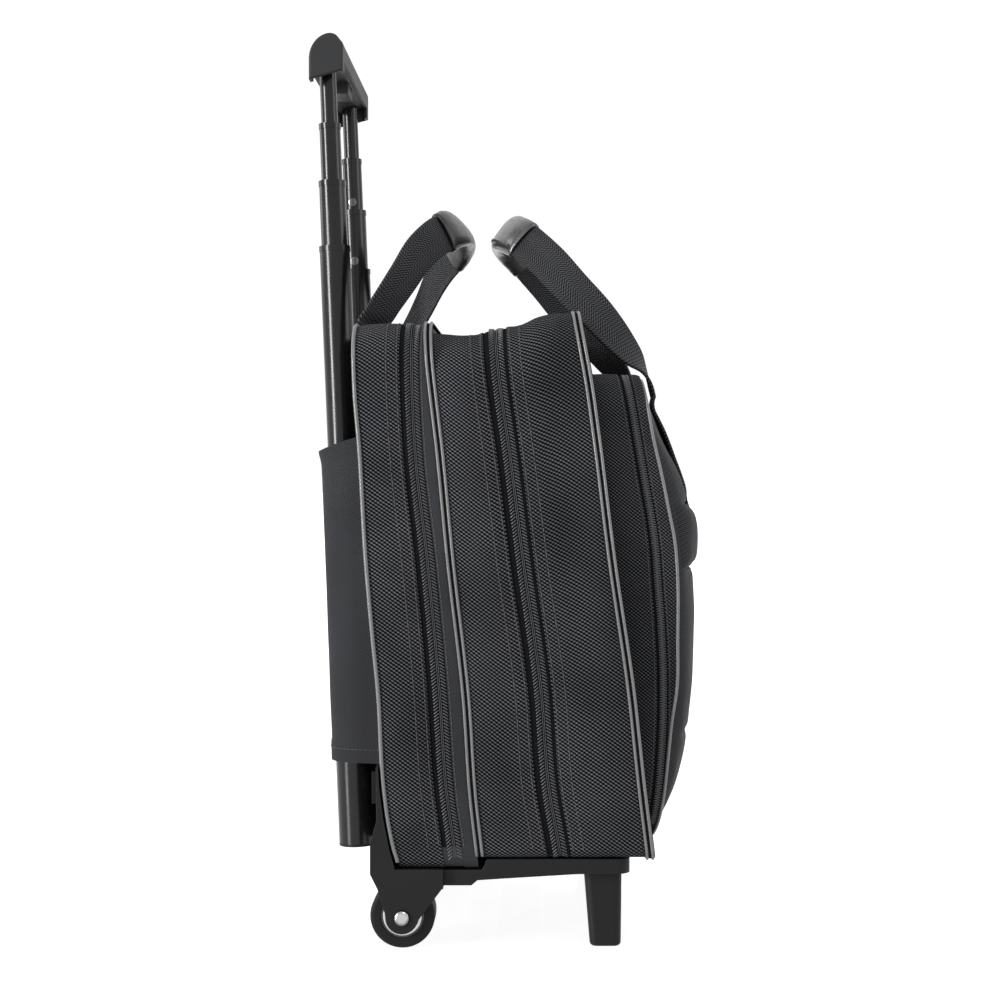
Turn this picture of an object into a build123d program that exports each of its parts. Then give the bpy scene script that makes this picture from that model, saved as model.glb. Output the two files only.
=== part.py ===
from build123d import *
import math
import os

os.makedirs("parts", exist_ok=True)

# ---------------------------------------------------------------------------
# Rolling laptop case: +Z up, front faces -Y, X is the width. Millimetres.
# "u" is a side-view coordinate that grows towards the front: Y = -(u - U0).
# ---------------------------------------------------------------------------
U0 = -37.4             # puts the bounding box centre on Y = 0
BAG_HW = 208.0         # half width of the bag body
BAG_Z0R = 52.0         # bottom of the rear (laptop) section
BAG_Z0 = 58.5          # bottom of the middle and front sections
TOP_R0, TOP_R1 = 405.0, 408.0      # rear section top, back and front end
TOP_M1 = 406.5         # strip between laptop zip and divider
TOP_P2 = 407.0         # divider panel top
TOP_M2 = 399.0         # middle section top
TOP_F0, TOP_F1 = 404.0, 414.0      # front section top, back and front end
R_TOP, R_BOT = 30.0, 24.0          # corner radii of the bag body
WALL = 3.0             # padded fabric wall
PANEL = 2.5            # fabric panels
ZIP_W = 8.0            # tape width either side of a zip split
ZIP_GAP = 0.5          # half gap at a zip split
ZIP_LOW = 74.0         # zips stop above this height
PIPE_OUT, PIPE_HW = 2.2, 2.0       # piping stands out by, half width
POCKET_HW, POCKET_Z0, POCKET_Z1 = 192.0, 68.4, 374.0
PAD_HW = 180.0
CLAMP_Z = ((72.0, 95.0), (130.0, 150.0), (272.0, 292.0))

TUBE_X = 70.0          # telescoping tubes
TUBE_U, TUBE_Z = -138.5, 40.0
TILT = 0.04094         # top leans back
HOUS_R, HOUS_RI, HOUS_L = 14.25, 12.65, 268.0
COL_RI, COL_TOP = 11.1, 274.0     # bush pressed into the top of an outer tube
PLUG_T = 2.0           # flange of the plug that closes an outer tube
T4 = (11.0, 10.1, 145.0, 433.4)    # outer r, inner r, low end, top end
T3 = (9.5, 8.5, 200.0, 480.8)
T2 = (7.6, 6.6, 250.0, 522.3)
T1_R, T1_LOW, T1_TOP = 6.0, 290.0, 570.0
RIM, RIM_H = 0.4, 4.0
BTN_R, BTN_HOLE = 3.3, 3.45
GRIP_HX = 88.0
GRIP_END, GRIP_REC = 11.0, 8.0     # end caps hang below the middle of the grip

WHEEL_R, AXLE_U, AXLE_Z = 21.0, -95.7, 21.0
TYRE_X0, TYRE_X1 = 184.0, 205.0
HUB_R, HUB_BORE, AXLE_R = 14.2, 3.05, 3.0
EAR_OUT0, EAR_OUT1 = 206.2, 210.2
EAR_IN0, EAR_IN1 = 176.0, 182.8
DOME_R, DOME_X = 5.2, 213.0

FOOT_X0, FOOT_X1 = 165.0, 201.0

P1 = [(-98.1, 48.0), (-98.1, 53.3), (-101.3, 64.9), (-105.2, 84.2), (-107.7, 103.6), (-111.6, 168.0),
      (-114.8, 200.0), (-119.4, 252.0), (-124.0, 329.0), (-126.3, 355.0), (-127.5, 381.0), (-128.4, 405.0), (-128.6, 440.0)]
Z1 = [(-60.0, 40.0), (-60.6, 52.0), (-67.1, 103.6), (-71.6, 168.0), (-79.4, 252.0), (-87.0, 319.0), (-89.0, 355.0), (-90.0, 440.0)]
P2 = [(-43.5, 40.0), (-45.0, 56.0), (-49.7, 97.0), (-54.2, 161.7), (-64.5, 252.0), (-71.0, 319.0), (-78.7, 387.0), (-82.0, 440.0)]
Z2 = [(9.0, 40.0), (7.1, 58.0), (-0.6, 103.6), (-5.8, 168.0), (-17.4, 252.0), (-25.8, 319.0), (-33.5, 374.6), (-38.0, 440.0)]
P3 = [(67.0, 40.0), (65.0, 58.0), (59.4, 103.6), (52.3, 168.0), (40.0, 252.0), (30.3, 329.4), (25.8, 361.7), (16.8, 414.0), (14.0, 440.0)]
Z3 = [(63.0, 50.0), (65.6, 68.4), (68.0, 80.0), (70.3, 93.7), (72.8, 120.5), (73.9, 140.0), (74.3, 172.8), (72.6, 212.0), (70.6, 238.2),
      (69.3, 257.8), (66.7, 277.4), (62.1, 303.6), (57.5, 329.8), (53.0, 356.0), (49.7, 373.6), (45.0, 400.0)]
P4 = [(65.0, 50.0), (67.4, 68.4), (70.6, 80.0), (73.4, 93.7), (76.6, 120.5), (79.3, 146.0), (82.4, 166.0), (83.0, 199.0), (83.0, 238.0),
      (81.0, 264.4), (77.2, 284.0), (71.9, 310.0), (67.3, 329.8), (63.4, 352.0), (60.2, 370.3), (55.5, 400.0)]
PAD = [(65.2, 50.0), (68.6, 68.4), (82.8, 98.2), (90.8, 134.6), (93.4, 158.0), (94.6, 191.0), (94.6, 224.0), (93.0, 248.0),
       (92.0, 283.6), (86.1, 310.0), (76.2, 330.0), (60.6, 372.0), (56.0, 400.0)]
BULGE = [(93.0, 247.0), (96.4, 252.0), (98.0, 263.6), (96.8, 276.0), (92.4, 286.0)]


def Y(u):
    return -(u - U0)


def V(x, u, z):
    return Vector(x, Y(u), z)


def u_at(poly, z):
    for (ua, za), (ub, zb) in zip(poly, poly[1:]):
        if za <= z <= zb:
            return ua + (ub - ua) * (z - za) / (zb - za)
    raise ValueError("height outside the outline")


def axis_u(z):
    return TUBE_U - (z - TUBE_Z) * TILT


def prism(pts, x0, x1):
    w = Wire.make_polygon([V(x0, u, z) for u, z in pts], close=True)
    return Solid.extrude(Face(w), Vector(x1 - x0, 0, 0))


def box(x0, x1, u0, u1, z0, z1):
    return prism([(u0, z0), (u1, z0), (u1, z1), (u0, z1)], x0, x1)


def xcyl(x0, x1, u, z, r):
    return Solid.make_cylinder(r, x1 - x0, Plane(origin=V(x0, u, z), z_dir=(1, 0, 0)))


def clip(poly, z0, z1):
    pts = [(u_at(poly, z0), z0)] + [p for p in poly if z0 < p[1] < z1] + [(u_at(poly, z1), z1)]
    return pts


def slab(pa, pb, da=0.0, db=0.0, z0=50.0, z1=440.0, hx=260.0):
    """Everything between two side outlines, shifted by da and db."""
    a = [(u + da, z) for u, z in clip(pa, z0, z1)]
    b = [(u + db, z) for u, z in clip(pb, z0, z1)]
    return prism(a + b[::-1], -hx, hx)


def rr_face(y, hw, z0, z1, rt, rb):
    k = math.sqrt(0.5)

    def p(x, z):
        return Vector(x, y, z)
    e = [
        Edge.make_line(p(-hw + rb, z0), p(hw - rb, z0)),
        Edge.make_three_point_arc(p(hw - rb, z0), p(hw - rb + rb * k, z0 + rb - rb * k), p(hw, z0 + rb)),
        Edge.make_line(p(hw, z0 + rb), p(hw, z1 - rt)),
        Edge.make_three_point_arc(p(hw, z1 - rt), p(hw - rt + rt * k, z1 - rt + rt * k), p(hw - rt, z1)),
        Edge.make_line(p(hw - rt, z1), p(-hw + rt, z1)),
        Edge.make_three_point_arc(p(-hw + rt, z1), p(-hw + rt - rt * k, z1 - rt + rt * k), p(-hw, z1 - rt)),
        Edge.make_line(p(-hw, z1 - rt), p(-hw, z0 + rb)),
        Edge.make_three_point_arc(p(-hw, z0 + rb), p(-hw + rb - rb * k, z0 + rb - rb * k), p(-hw + rb, z0)),
    ]
    return Face(Wire(e))


def tub(u0, u1, hw, z0, t0, t1, rt=R_TOP, rb=R_BOT, ins=0.0):
    """Rounded block from u0 to u1; its top runs from t0 to t1. ins shrinks it."""
    dy = Y(u1) - Y(u0)
    rt2, rb2 = max(rt - ins, 1.0), max(rb - ins, 1.0)
    if abs(t1 - t0) < 1e-6:
        return Solid.extrude(rr_face(Y(u0), hw - ins, z0 + ins, t0 - ins, rt2, rb2), Vector(0, dy, 0))
    a = Solid.extrude(rr_face(Y(u0), hw - ins, z0 - 60, t0 - ins, rt2, 5.0), Vector(0, dy, t1 - t0))
    b = Solid.extrude(rr_face(Y(u0), hw - ins, z0 + ins, max(t0, t1) + 60, 5.0, rb2), Vector(0, dy, 0))
    return one(a & b)


def one(s):
    """The single solid inside a boolean result."""
    sol = s.solids()
    if len(sol) == 1:
        return sol[0]
    return s


def both(a, *more):
    r = a
    for m in more:
        r = r & m
    return r


def out(name, shape):
    sol = shape.solids()
    sol = [s for s in sol if s.volume > 0.5]
    c = sol[0] if len(sol) == 1 else Compound(children=sol)
    c.label = name
    export_step(c, "parts/%s.step" % name)
    b = c.bounding_box()
    print("%-28s solids %2d vol %9.1f  x %.1f %.1f  y %.1f %.1f  z %.1f %.1f" % (
        name, len(sol), sum(s.volume for s in sol), b.min.X, b.max.X, b.min.Y, b.max.Y, b.min.Z, b.max.Z))


def fuse(*s):
    r = s[0]
    for t in s[1:]:
        r = r + t
    return r


def mirror_x(s):
    return s.mirror(Plane.YZ)


# --- tube frame -------------------------------------------------------------
def tube_plane(side):
    n = math.hypot(1.0, TILT)
    return Plane(origin=V(side * TUBE_X, TUBE_U, TUBE_Z), x_dir=(1, 0, 0), z_dir=(0, TILT / n, 1.0 / n))


def tcyl(side, r, w0, w1):
    pl = tube_plane(side)
    o = pl.origin + pl.z_dir * w0
    return Solid.make_cylinder(r, w1 - w0, Plane(origin=o, x_dir=(1, 0, 0), z_dir=pl.z_dir))


def tube(side, r, ri, w0, w1, rim=True):
    s = tcyl(side, r, w0, w1)
    if rim:
        s = s + tcyl(side, r + RIM, w1 - RIM_H, w1)
    return one(s - tcyl(side, ri, w0 - 1, w1 + 1))


def btn_cyl(side, w, r, length=30.0):
    """A cylinder along X from the tube axis towards the other tube."""
    pl = tube_plane(side)
    o = pl.origin + pl.z_dir * w
    return Solid.make_cylinder(r, length, Plane(origin=o, z_dir=(-side, 0, 0)))


# screws: (x, u, z, direction, length); each is a shank with a low head at its start
def screw(x, u, z, d, length, r=1.5, hr=3.0, hh=1.6):
    o = V(x, u, z)
    dv = Vector(0, -d[0], d[1])
    s = Solid.make_cylinder(r, length, Plane(origin=o, z_dir=dv))
    h = Solid.make_cylinder(hr, hh, Plane(origin=o - dv * hh, z_dir=dv))
    return one(s + h)


def shank(x, u, z, d, length, r=1.5):
    return Solid.make_cylinder(r, length, Plane(origin=V(x, u, z), z_dir=Vector(0, -d[0], d[1])))


# ===========================================================================
# Telescoping handle
# ===========================================================================
SIDES = (-1, 1)
out("tube_housings", fuse(*[tube(s, HOUS_R, HOUS_RI, PLUG_T, HOUS_L, rim=False) for s in SIDES]))
plugs = []
for s in SIDES:
    plugs.append(one(tcyl(s, HOUS_R, 0, PLUG_T) + tcyl(s, HOUS_RI, PLUG_T, 14)))
out("tube_end_plugs", fuse(*plugs))
cols = []
for s in SIDES:
    c = tcyl(s, HOUS_R, HOUS_L, COL_TOP) + tcyl(s, HOUS_RI, HOUS_L - 9, HOUS_L) - tcyl(s, COL_RI, HOUS_L - 10, COL_TOP + 1)
    cols.append(one(c))
out("housing_collars", fuse(*cols))

t4, t3, t2, t1 = [], [], [], []
for s in SIDES:
    t4.append(tube(s, *T4))
    w3, w2 = T4[3] + 6.0, T3[3] + 6.0
    a = tube(s, *T3)
    t3.append(one(a - btn_cyl(s, w3, BTN_HOLE)))
    a = tube(s, *T2)
    t2.append(one(a - btn_cyl(s, w2, BTN_HOLE)))
    t1.append(tcyl(s, T1_R, T1_LOW, T1_TOP))
    ring3 = tcyl(s, T3[0] + 0.35, w3 - 6, w3 + 6) - tcyl(s, T3[1] + 0.25, w3 - 7, w3 + 7)
    ring2 = tcyl(s, T2[0] + 0.5, w2 - 6, w2 + 6) - tcyl(s, T2[1] + 0.5, w2 - 7, w2 + 7)
    nm = "left" if s < 0 else "right"
    out("lock_button_stage3_" + nm, one(ring3 & btn_cyl(s, w3, BTN_R)))
    out("lock_button_stage2_" + nm, one(ring2 & btn_cyl(s, w2, BTN_R)))
out("stage4_tubes", fuse(*t4))
out("stage3_tubes", fuse(*t3))
out("stage2_tubes", fuse(*t2))
out("stage1_tubes", fuse(*t1))

# grip: bullet-shaped bar, top shell and a bottom shell that closes it
GR = [(-172.8, 590.6), (-172.8, 605.5), (-171.7, 612.2), (-168.4, 618.2), (-163.6, 622.2), (-158.1, 623.9),
      (-153.1, 622.4), (-149.9, 618.6), (-148.3, 613.6), (-148.3, 597.2)]
gy = [V(-GRIP_HX, u, z) for u, z in GR]
arc_top = Edge.make_spline([gy[1], gy[2], gy[3], gy[4], gy[5], gy[6], gy[7], gy[8]],
                           tangents=[Vector(0, 0, 1), Vector(0, 0, -1)])
gw = Wire([Edge.make_line(gy[0], gy[1]), arc_top, Edge.make_line(gy[8], gy[9]), Edge.make_line(gy[9], gy[0])])
grip_full = Solid.extrude(Face(gw), Vector(2 * GRIP_HX, 0, 0))
for rad in (2.5, 1.6, 0.8):
    try:
        ends = [e for e in grip_full.edges() if abs(abs(e.center().X) - GRIP_HX) < 0.01 and e.center().Z > 592]
        grip_full = grip_full.fillet(rad, ends)
        break
    except Exception as err:
        print("grip end fillet skipped", rad)
GI = [(-170.6, 585.0), (-170.6, 605.5), (-169.4, 611.4), (-166.6, 616.4), (-162.6, 620.0), (-158.1, 621.4),
      (-154.4, 620.2), (-151.9, 617.2), (-150.5, 613.2), (-150.5, 585.0)]
grip_cav = prism(GI, -GRIP_HX + 3, GRIP_HX - 3)
slot = None
BX, BU, BUC = 12.0, 5.5, -159.6     # button half straight, half width, centre


def pill(hx, r, u, z0, z1):
    a = prism([(u - r, z0), (u + r, z0), (u + r, z1), (u - r, z1)], -hx, hx)
    c1 = Solid.make_cylinder(r, z1 - z0, Plane(origin=V(-hx, u, z0), z_dir=(0, 0, 1)))
    c2 = Solid.make_cylinder(r, z1 - z0, Plane(origin=V(hx, u, z0), z_dir=(0, 0, 1)))
    return one(a + c1 + c2)


bottom_z0 = lambda u: 590.6 + (u + 172.8) * (597.2 - 590.6) / 24.5
BP0, BP1 = GRIP_REC + 1.5, GRIP_REC + 3.5
BSH = [(-170.6, bottom_z0(-170.6) + BP0), (-150.5, bottom_z0(-150.5) + BP0),
       (-150.5, bottom_z0(-150.5) + BP1), (-170.6, bottom_z0(-170.6) + BP1)]
bshell = prism(BSH, -GRIP_HX + 3, GRIP_HX - 3)
seat = box(-14, 14, -166, -153, 596.5, 606.0)
bshell = (bshell + seat) - box(-4.6, 4.6, -164.2, -155.0, 599.0, 612.0)
for s in SIDES:
    bshell = bshell + (tcyl(s, 7.6, 553.0, 580.0) & prism([(-170.6, bottom_z0(-170.6) + BP0), (-150.5, bottom_z0(-150.5) + BP0),
                                                           (-150.5, 611.0), (-170.6, 611.0)], -GRIP_HX + 3, GRIP_HX - 3))
for s in SIDES:
    bshell = bshell - tcyl(s, T1_R, T1_LOW, T1_TOP)
bshell = one(bshell)
recess = prism([(-180.0, 560.0), (-140.0, 560.0), (-140.0, bottom_z0(-140.0) + GRIP_REC), (-180.0, bottom_z0(-180.0) + GRIP_REC)],
               -GRIP_HX + GRIP_END, GRIP_HX - GRIP_END)
top_shell = grip_full - grip_cav - pill(BX, BU + 0.15, BUC, 600, 640) - recess
out("grip_top_shell", one(top_shell))
out("grip_bottom_shell", one(bshell))
btn = pill(BX, BU, BUC, 611.0, 624.9)
try:
    te = [e for e in btn.edges() if abs(e.center().Z - 624.9) < 0.01]
    btn = btn.fillet(1.2, te)
except Exception as err:
    print("button fillet skipped", err)
out("release_button", btn)
helix = Wire([Edge.make_helix(pitch=2.2, height=10.6, radius=3.4, center=V(0, BUC, 599.7), normal=(0, 0, 1))])
hstart = helix @ 0
htan = helix % 0
spr = Solid.sweep(Face(Wire.make_circle(0.45, Plane(origin=hstart, z_dir=htan))), helix)
out("release_spring", spr)

# ===========================================================================
# Chassis: base tray, kick plate, wheels, feet
# ===========================================================================
TRAY = [(-112.0, 51.0), (-112.0, 47.0), (-69.0, 47.0), (-69.0, 41.0), (-51.0, 41.0), (-47.0, 44.3), (-32.0, 45.3), (19.0, 48.3),
        (52.0, 48.3), (52.0, 57.8), (-41.0, 57.8), (-44.0, 51.0)]
tray = prism(TRAY, -205.5, 205.5)
# narrower behind the line of the wheel housings
tray = tray - prism([(-120, 40), (-69.0, 40), (-69.0, 60), (-120, 60)], -206, -172) \
    - prism([(-120, 40), (-69.0, 40), (-69.0, 60), (-120, 60)], 172, 206)
# hollow underside with three cross ribs
for x0, x1 in ((-201.5, -104), (-100, -2), (2, 100), (104, 201.5)):
    tray = tray - prism([(-65.5, 38), (-65.5, 47.5), (-41.0, 47.5), (-38.0, 54.3), (-8.0, 54.3), (-8.0, 38)], x0, x1)
    tray = tray - prism([(-5.0, 38), (-5.0, 54.3), (48.5, 54.3), (48.5, 38)],
                        max(x0, -161.0), min(x1, 161.0))
kick = prism([(-116.0, 45.0), (-112.0, 45.0), (-112.0, 99.0), (-116.0, 99.0)], -172, 172)
tray = tray + kick
for x in (-120.0, -40.0, 40.0, 120.0):
    tray = tray + prism([(-112.0, 52.0), (-112.0, 47.0), (-100.5, 51.0), (-109.5, 62.0), (-112.0, 80.0)], x - 1.5, x + 1.5)
try:
    fe = [e for e in tray.edges() if abs(abs(e.center().X) - 205.5) < 0.01 and abs(e.center().Y - Y(52.0)) < 0.01
          and abs((e @ 0 - e @ 1).Z) > 5]
    tray = tray.fillet(9.0, fe)
except Exception as err:
    print("tray fillet skipped", err)

# wheel housings: (u, z) outline of the ear and the boot behind the bag corner
HB = [(-110.6, 118.0), (-111.2, 84.6), (-116.2, 68.5), (-116.2, 49.2), (-111.4, 39.6), (-109.2, 31.8), (-106.6, 24.0)]


def ear(x0, x1):
    pts = list(HB[3:])
    n = 12
    for i in range(n + 1):
        a = math.radians(190 + (350 - 190) * i / n)
        pts.append((AXLE_U + 10.6 * math.cos(a), AXLE_Z + 10.6 * math.sin(a)))
    pts += [(-76.1, 31.3), (-69.7, 39.7), (-69.0, 41.0), (-69.0, 51.0), (-112.0, 51.0)]
    return prism(pts, x0, x1)


def wheel_housing(sign):
    x0, x1 = EAR_IN0, EAR_OUT1
    block = prism([(-116.2, 51.0), (-116.2, 49.2), (-111.4, 39.6), (-69.0, 39.6), (-69.0, 51.0)], 172.0, x1)
    well = xcyl(EAR_IN1, EAR_OUT0, AXLE_U, AXLE_Z, WHEEL_R + 2.2)
    s = block + ear(x0, EAR_IN1) + ear(EAR_OUT0, x1)
    s = s - well
    # outer corner of the tray between the ear and the bag
    lip = prism([(-69.0, 51.0), (-116.2, 51.0), (-116.2, 52.0), (-100.2, 52.0), (-69.0, 52.0)], 205.6, x1)
    # boot that rises behind the bag's lower corner
    boot = prism([(-116.2, 51.0), (-116.2, 68.5), (-111.8, 84.6), (-112.5, 118.0)] +
                 [(u_at(P1, z) - 2.4, z) for z in (118.0, 103.6, 84.2, 64.9, 53.3)] + [(-100.6, 51.0)], 172.0, x1)
    s = s + lip + boot
    s = s - xcyl(170.0, 215.0, AXLE_U, AXLE_Z, AXLE_R)
    s = one(s)
    return s if sign > 0 else mirror_x(s)


axl = []
wh = {}
for sgn in SIDES:
    nm = "left" if sgn < 0 else "right"
    h = wheel_housing(sgn)
    wh[nm] = h
    a = xcyl(173.0, EAR_OUT1, AXLE_U, AXLE_Z, AXLE_R)
    d = xcyl(EAR_OUT1, DOME_X, AXLE_U, AXLE_Z, DOME_R)
    d = d.fillet(2.6, [e for e in d.edges() if abs(e.center().X - DOME_X) < 0.01])
    a = one(a + d + xcyl(173.0, EAR_IN0, AXLE_U, AXLE_Z, 5.0))
    axl.append(a if sgn > 0 else mirror_x(a))
    tyre = xcyl(TYRE_X0, TYRE_X1, AXLE_U, AXLE_Z, WHEEL_R) - xcyl(TYRE_X0 - 1, TYRE_X1 + 1, AXLE_U, AXLE_Z, HUB_R)
    try:
        te = [e for e in tyre.edges() if e.geom_type == GeomType.CIRCLE and e.radius > WHEEL_R - 0.1]
        tyre = one(tyre).fillet(2.6, te)
    except Exception as err:
        print("tyre fillet skipped", err)
    hub = xcyl(TYRE_X0 + 1, TYRE_X1 - 1.0, AXLE_U, AXLE_Z, HUB_R)
    hub = hub - (xcyl(TYRE_X1 - 4.0, TYRE_X1, AXLE_U, AXLE_Z, 10.8) - xcyl(TYRE_X1 - 5.0, TYRE_X1 + 1, AXLE_U, AXLE_Z, 6.0))
    hub = hub + xcyl(TYRE_X1 - 1.0, TYRE_X1 + 0.6, AXLE_U, AXLE_Z, 6.0)
    hub = hub + (xcyl(TYRE_X1 - 1.0, TYRE_X1 + 0.5, AXLE_U, AXLE_Z, 12.4) - xcyl(TYRE_X1 - 2, TYRE_X1 + 1, AXLE_U, AXLE_Z, 10.8))
    hub = hub - xcyl(TYRE_X0 - 2, TYRE_X1 + 2, AXLE_U, AXLE_Z, HUB_BORE)
    if sgn < 0:
        tyre, hub = mirror_x(one(tyre)), mirror_x(one(hub))
    out("wheel_tyre_" + nm, one(tyre))
    out("wheel_hub_" + nm, one(hub))
out("axles", fuse(*axl))

# feet: a post with a flange, tapering a little towards the floor
feet = []
for sgn in SIDES:
    pf = [(26.0, 0.0), (46.2, 0.0), (46.8, 48.3), (22.1, 48.3)]
    post = prism(pf, FOOT_X0, FOOT_X1)
    try:
        ve = [e for e in post.edges() if e.center().Z > 1 and e.center().Z < 48 and abs((e @ 0 - e @ 1).Z) > 20]
        post = post.fillet(5.0, ve)
        be = [e for e in post.edges() if abs(e.center().Z) < 0.01]
        post = post.fillet(2.4, be)
    except Exception as err:
        print("foot fillet skipped", err)
    feet.append(post if sgn > 0 else mirror_x(post))
feet_all = fuse(*feet)

# screws: two up into each foot through the tray floor, one through each clamp
scr, scr_cut = [], []
for sgn in SIDES:
    for dx in (-9.0, 9.0):
        x = sgn * (FOOT_X0 + FOOT_X1) / 2 + dx
        a = (x, 34.5, 57.8 - 1.7, (0, -1), 24.0)
        scr.append(screw(*a))
        scr_cut.append(a)
for c, (z0, z1) in enumerate(CLAMP_Z):
    for sgn in SIDES:
        zc = (z0 + z1) / 2
        for dx in (-21.5, 21.5):
            x = sgn * TUBE_X + dx
            if c == 0:
                a = (x, -112.0, zc, (-1, 0), 12.0)
            else:
                a = (x, u_at(P1, zc) + PANEL + 2.0, zc, (-1, 0), 14.0)
            scr.append(screw(*a))
            scr_cut.append(a)
out("chassis_screws", fuse(*scr))


def cut_screws(s, heads=False):
    for x, u, z, d, ln in scr_cut:
        o = V(x, u, z)
        if (o - s.bounding_box().center()).length < 700:
            s = s - shank(x, u, z, d, ln)
            if heads:
                dv = Vector(0, -d[0], d[1])
                s = s - Solid.make_cylinder(3.0, 1.7, Plane(origin=o - dv * 1.7, z_dir=dv))
    return s


out("front_feet", cut_screws(feet_all))
tray = cut_screws(tray, heads=True)
out("base_tray", one(tray))
for nm in ("left", "right"):
    out("wheel_housing_" + nm, wh[nm])

# clamps that hold the outer tubes to the kick plate and to the back
clamps = []
for c, (z0, z1) in enumerate(CLAMP_Z):
    for sgn in SIDES:
        if c == 0:
            pts = [(-127.6, z0), (-116.0, z0), (-116.0, z1), (-127.6, z1)]
        else:
            pts = [(axis_u(z0) - 3, z0), (u_at(P1, z0), z0), (u_at(P1, z1), z1), (axis_u(z1) - 3, z1)]
        b = prism(pts, sgn * TUBE_X - 24.5, sgn * TUBE_X + 24.5)
        # thinner wings beside the tube
        wings = [(p[0], p[1]) for p in pts]
        uw = (pts[1][0] - 6.0, pts[2][0] - 6.0)
        for w0, w1 in ((-30.0, -17.5), (17.5, 30.0)):
            b = b - prism([(pts[0][0] - 8, z0 - 1), (uw[0], z0 - 1), (uw[1], z1 + 1), (pts[3][0] - 8, z1 + 1)],
                          sgn * TUBE_X + w0, sgn * TUBE_X + w1)
        b = b - tcyl(sgn, HOUS_R, -10, 330)
        clamps.append(one(b))
out("tube_clamps", cut_screws(fuse(*clamps)))

# ===========================================================================
# Bag: rear section (fixed to the chassis)
# ===========================================================================
REAR = dict(hw=BAG_HW, z0=BAG_Z0R, t0=TOP_R0, t1=TOP_R1)


def rear_tub(ins=0.0):
    return tub(-130.0, -55.0, ins=ins, **REAR)


back_panel = rear_tub() & slab(P1, P1, 0.0, PANEL)
out("back_panel", cut_screws(one(back_panel)))
rt_o, rt_i = rear_tub(), rear_tub(WALL)
ring = one(rt_o - rt_i)
top_band = box(-230, 230, -200, 100, ZIP_LOW, 460)
zip_zone = slab(Z1, Z1, -ZIP_W, -ZIP_GAP) & top_band
rear_all = ring & slab(P1, Z1, PANEL, -ZIP_GAP)
out("laptop_zipper_rear_half", one(rear_all & zip_zone))
out("rear_gusset", one(rear_all - zip_zone))
out("rear_piping", one((rear_tub(-PIPE_OUT) - rt_o) & slab(P1, P1, -PIPE_HW, PIPE_HW) & box(-230, 230, -200, 100, 56.0, 460)))
bb = slab(P1, P1, PANEL, PANEL + 2.0) & box(-170, 170, -200, 100, 70, 388)
out("back_board", one(cut_screws(one(bb), heads=True)))

# fabric sleeve that the outer tubes run through
SL_X = 97.0
SB = [(-158.0, 101.0), (-166.9, 318.0), (u_at(P1, 336.0), 336.0)] + [(u, z) for u, z in P1[::-1] if 101.0 < z < 336.0] + [(u_at(P1, 101.0), 101.0)]
SBI = [(-155.5, 90.0), (-155.5, 101.0), (-164.3, 316.0), (-164.6, 345.0), (-60.0, 345.0), (-60.0, 90.0)]
sl = prism(SB, -SL_X, SL_X) - prism(SBI, -SL_X + 2.5, SL_X - 2.5)
se = [e for e in sl.edges() if abs(abs(e.center().X) - SL_X) < 0.01 and e.center().Y > Y(-158.0) - 0.5 and abs((e @ 0 - e @ 1).Z) > 150]
if se:
    sl = one(sl).fillet(2.2, se)
out("trolley_sleeve", one(sl))

# ===========================================================================
# Middle section
# ===========================================================================
def mid_tub(ins, z0, top):
    return tub(-110.0, 20.0, BAG_HW, z0, top, top, ins=ins)


strip_z0 = BAG_Z0R
la = (mid_tub(0, strip_z0, TOP_M1) - mid_tub(WALL, strip_z0, TOP_M1)) & slab(Z1, P2, ZIP_GAP, 0.0)
lz_front = la & top_band
strip_low = la - top_band
ma = (mid_tub(0, BAG_Z0, TOP_M2) - mid_tub(WALL, BAG_Z0, TOP_M2)) & slab(P2, Z2, PANEL, -ZIP_GAP)
mz_zone = slab(Z2, Z2, -ZIP_W, -ZIP_GAP) & top_band
mz_rear = ma & mz_zone
out("mid_zipper_halves", Compound(children=[one(lz_front), one(mz_rear)]))
divider = tub(-110.0, 20.0, BAG_HW, BAG_Z0, TOP_P2, TOP_P2) & slab(P2, P2, 0.0, PANEL)
mg = (ma - mz_zone)
out("mid_gusset", Compound(children=[one(mg), one(strip_low)]))
out("divider_panel", one(divider))
dp_o = tub(-110.0, 20.0, BAG_HW, BAG_Z0, TOP_P2, TOP_P2, ins=-PIPE_OUT) - tub(-110.0, 20.0, BAG_HW, BAG_Z0, TOP_P2, TOP_P2)
out("mid_piping", one(dp_o & slab(P2, P2, 0.0, 4.0) & box(-230, 230, -200, 100, 60.0, 460)))

# ===========================================================================
# Front section with pocket
# ===========================================================================
FR = dict(hw=BAG_HW, z0=BAG_Z0, t0=TOP_F0, t1=TOP_F1)


def front_tub(ins=0.0):
    return tub(-36.0, 17.0, ins=ins, **FR)


def front_block(ins=0.0):
    """Top follows the slope of the front section, level beyond both ends."""
    hw = BAG_HW
    rt2, rb2 = max(R_TOP - ins, 1.0), max(R_BOT - ins, 1.0)
    low = Solid.extrude(rr_face(Y(-60.0), hw - ins, BAG_Z0 + ins, 480, 5.0, rb2), Vector(0, Y(90.0) - Y(-60.0), 0))
    slope = (TOP_F1 - TOP_F0) / 53.0
    t_a = TOP_F0 - (60.0 - 36.0) * slope
    t_b = t_a + 150.0 * slope
    hi = Solid.extrude(rr_face(Y(-60.0), hw - ins, 0.0, t_a - ins, rt2, 5.0), Vector(0, Y(90.0) - Y(-60.0), t_b - t_a))
    return one(low & hi)


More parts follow.
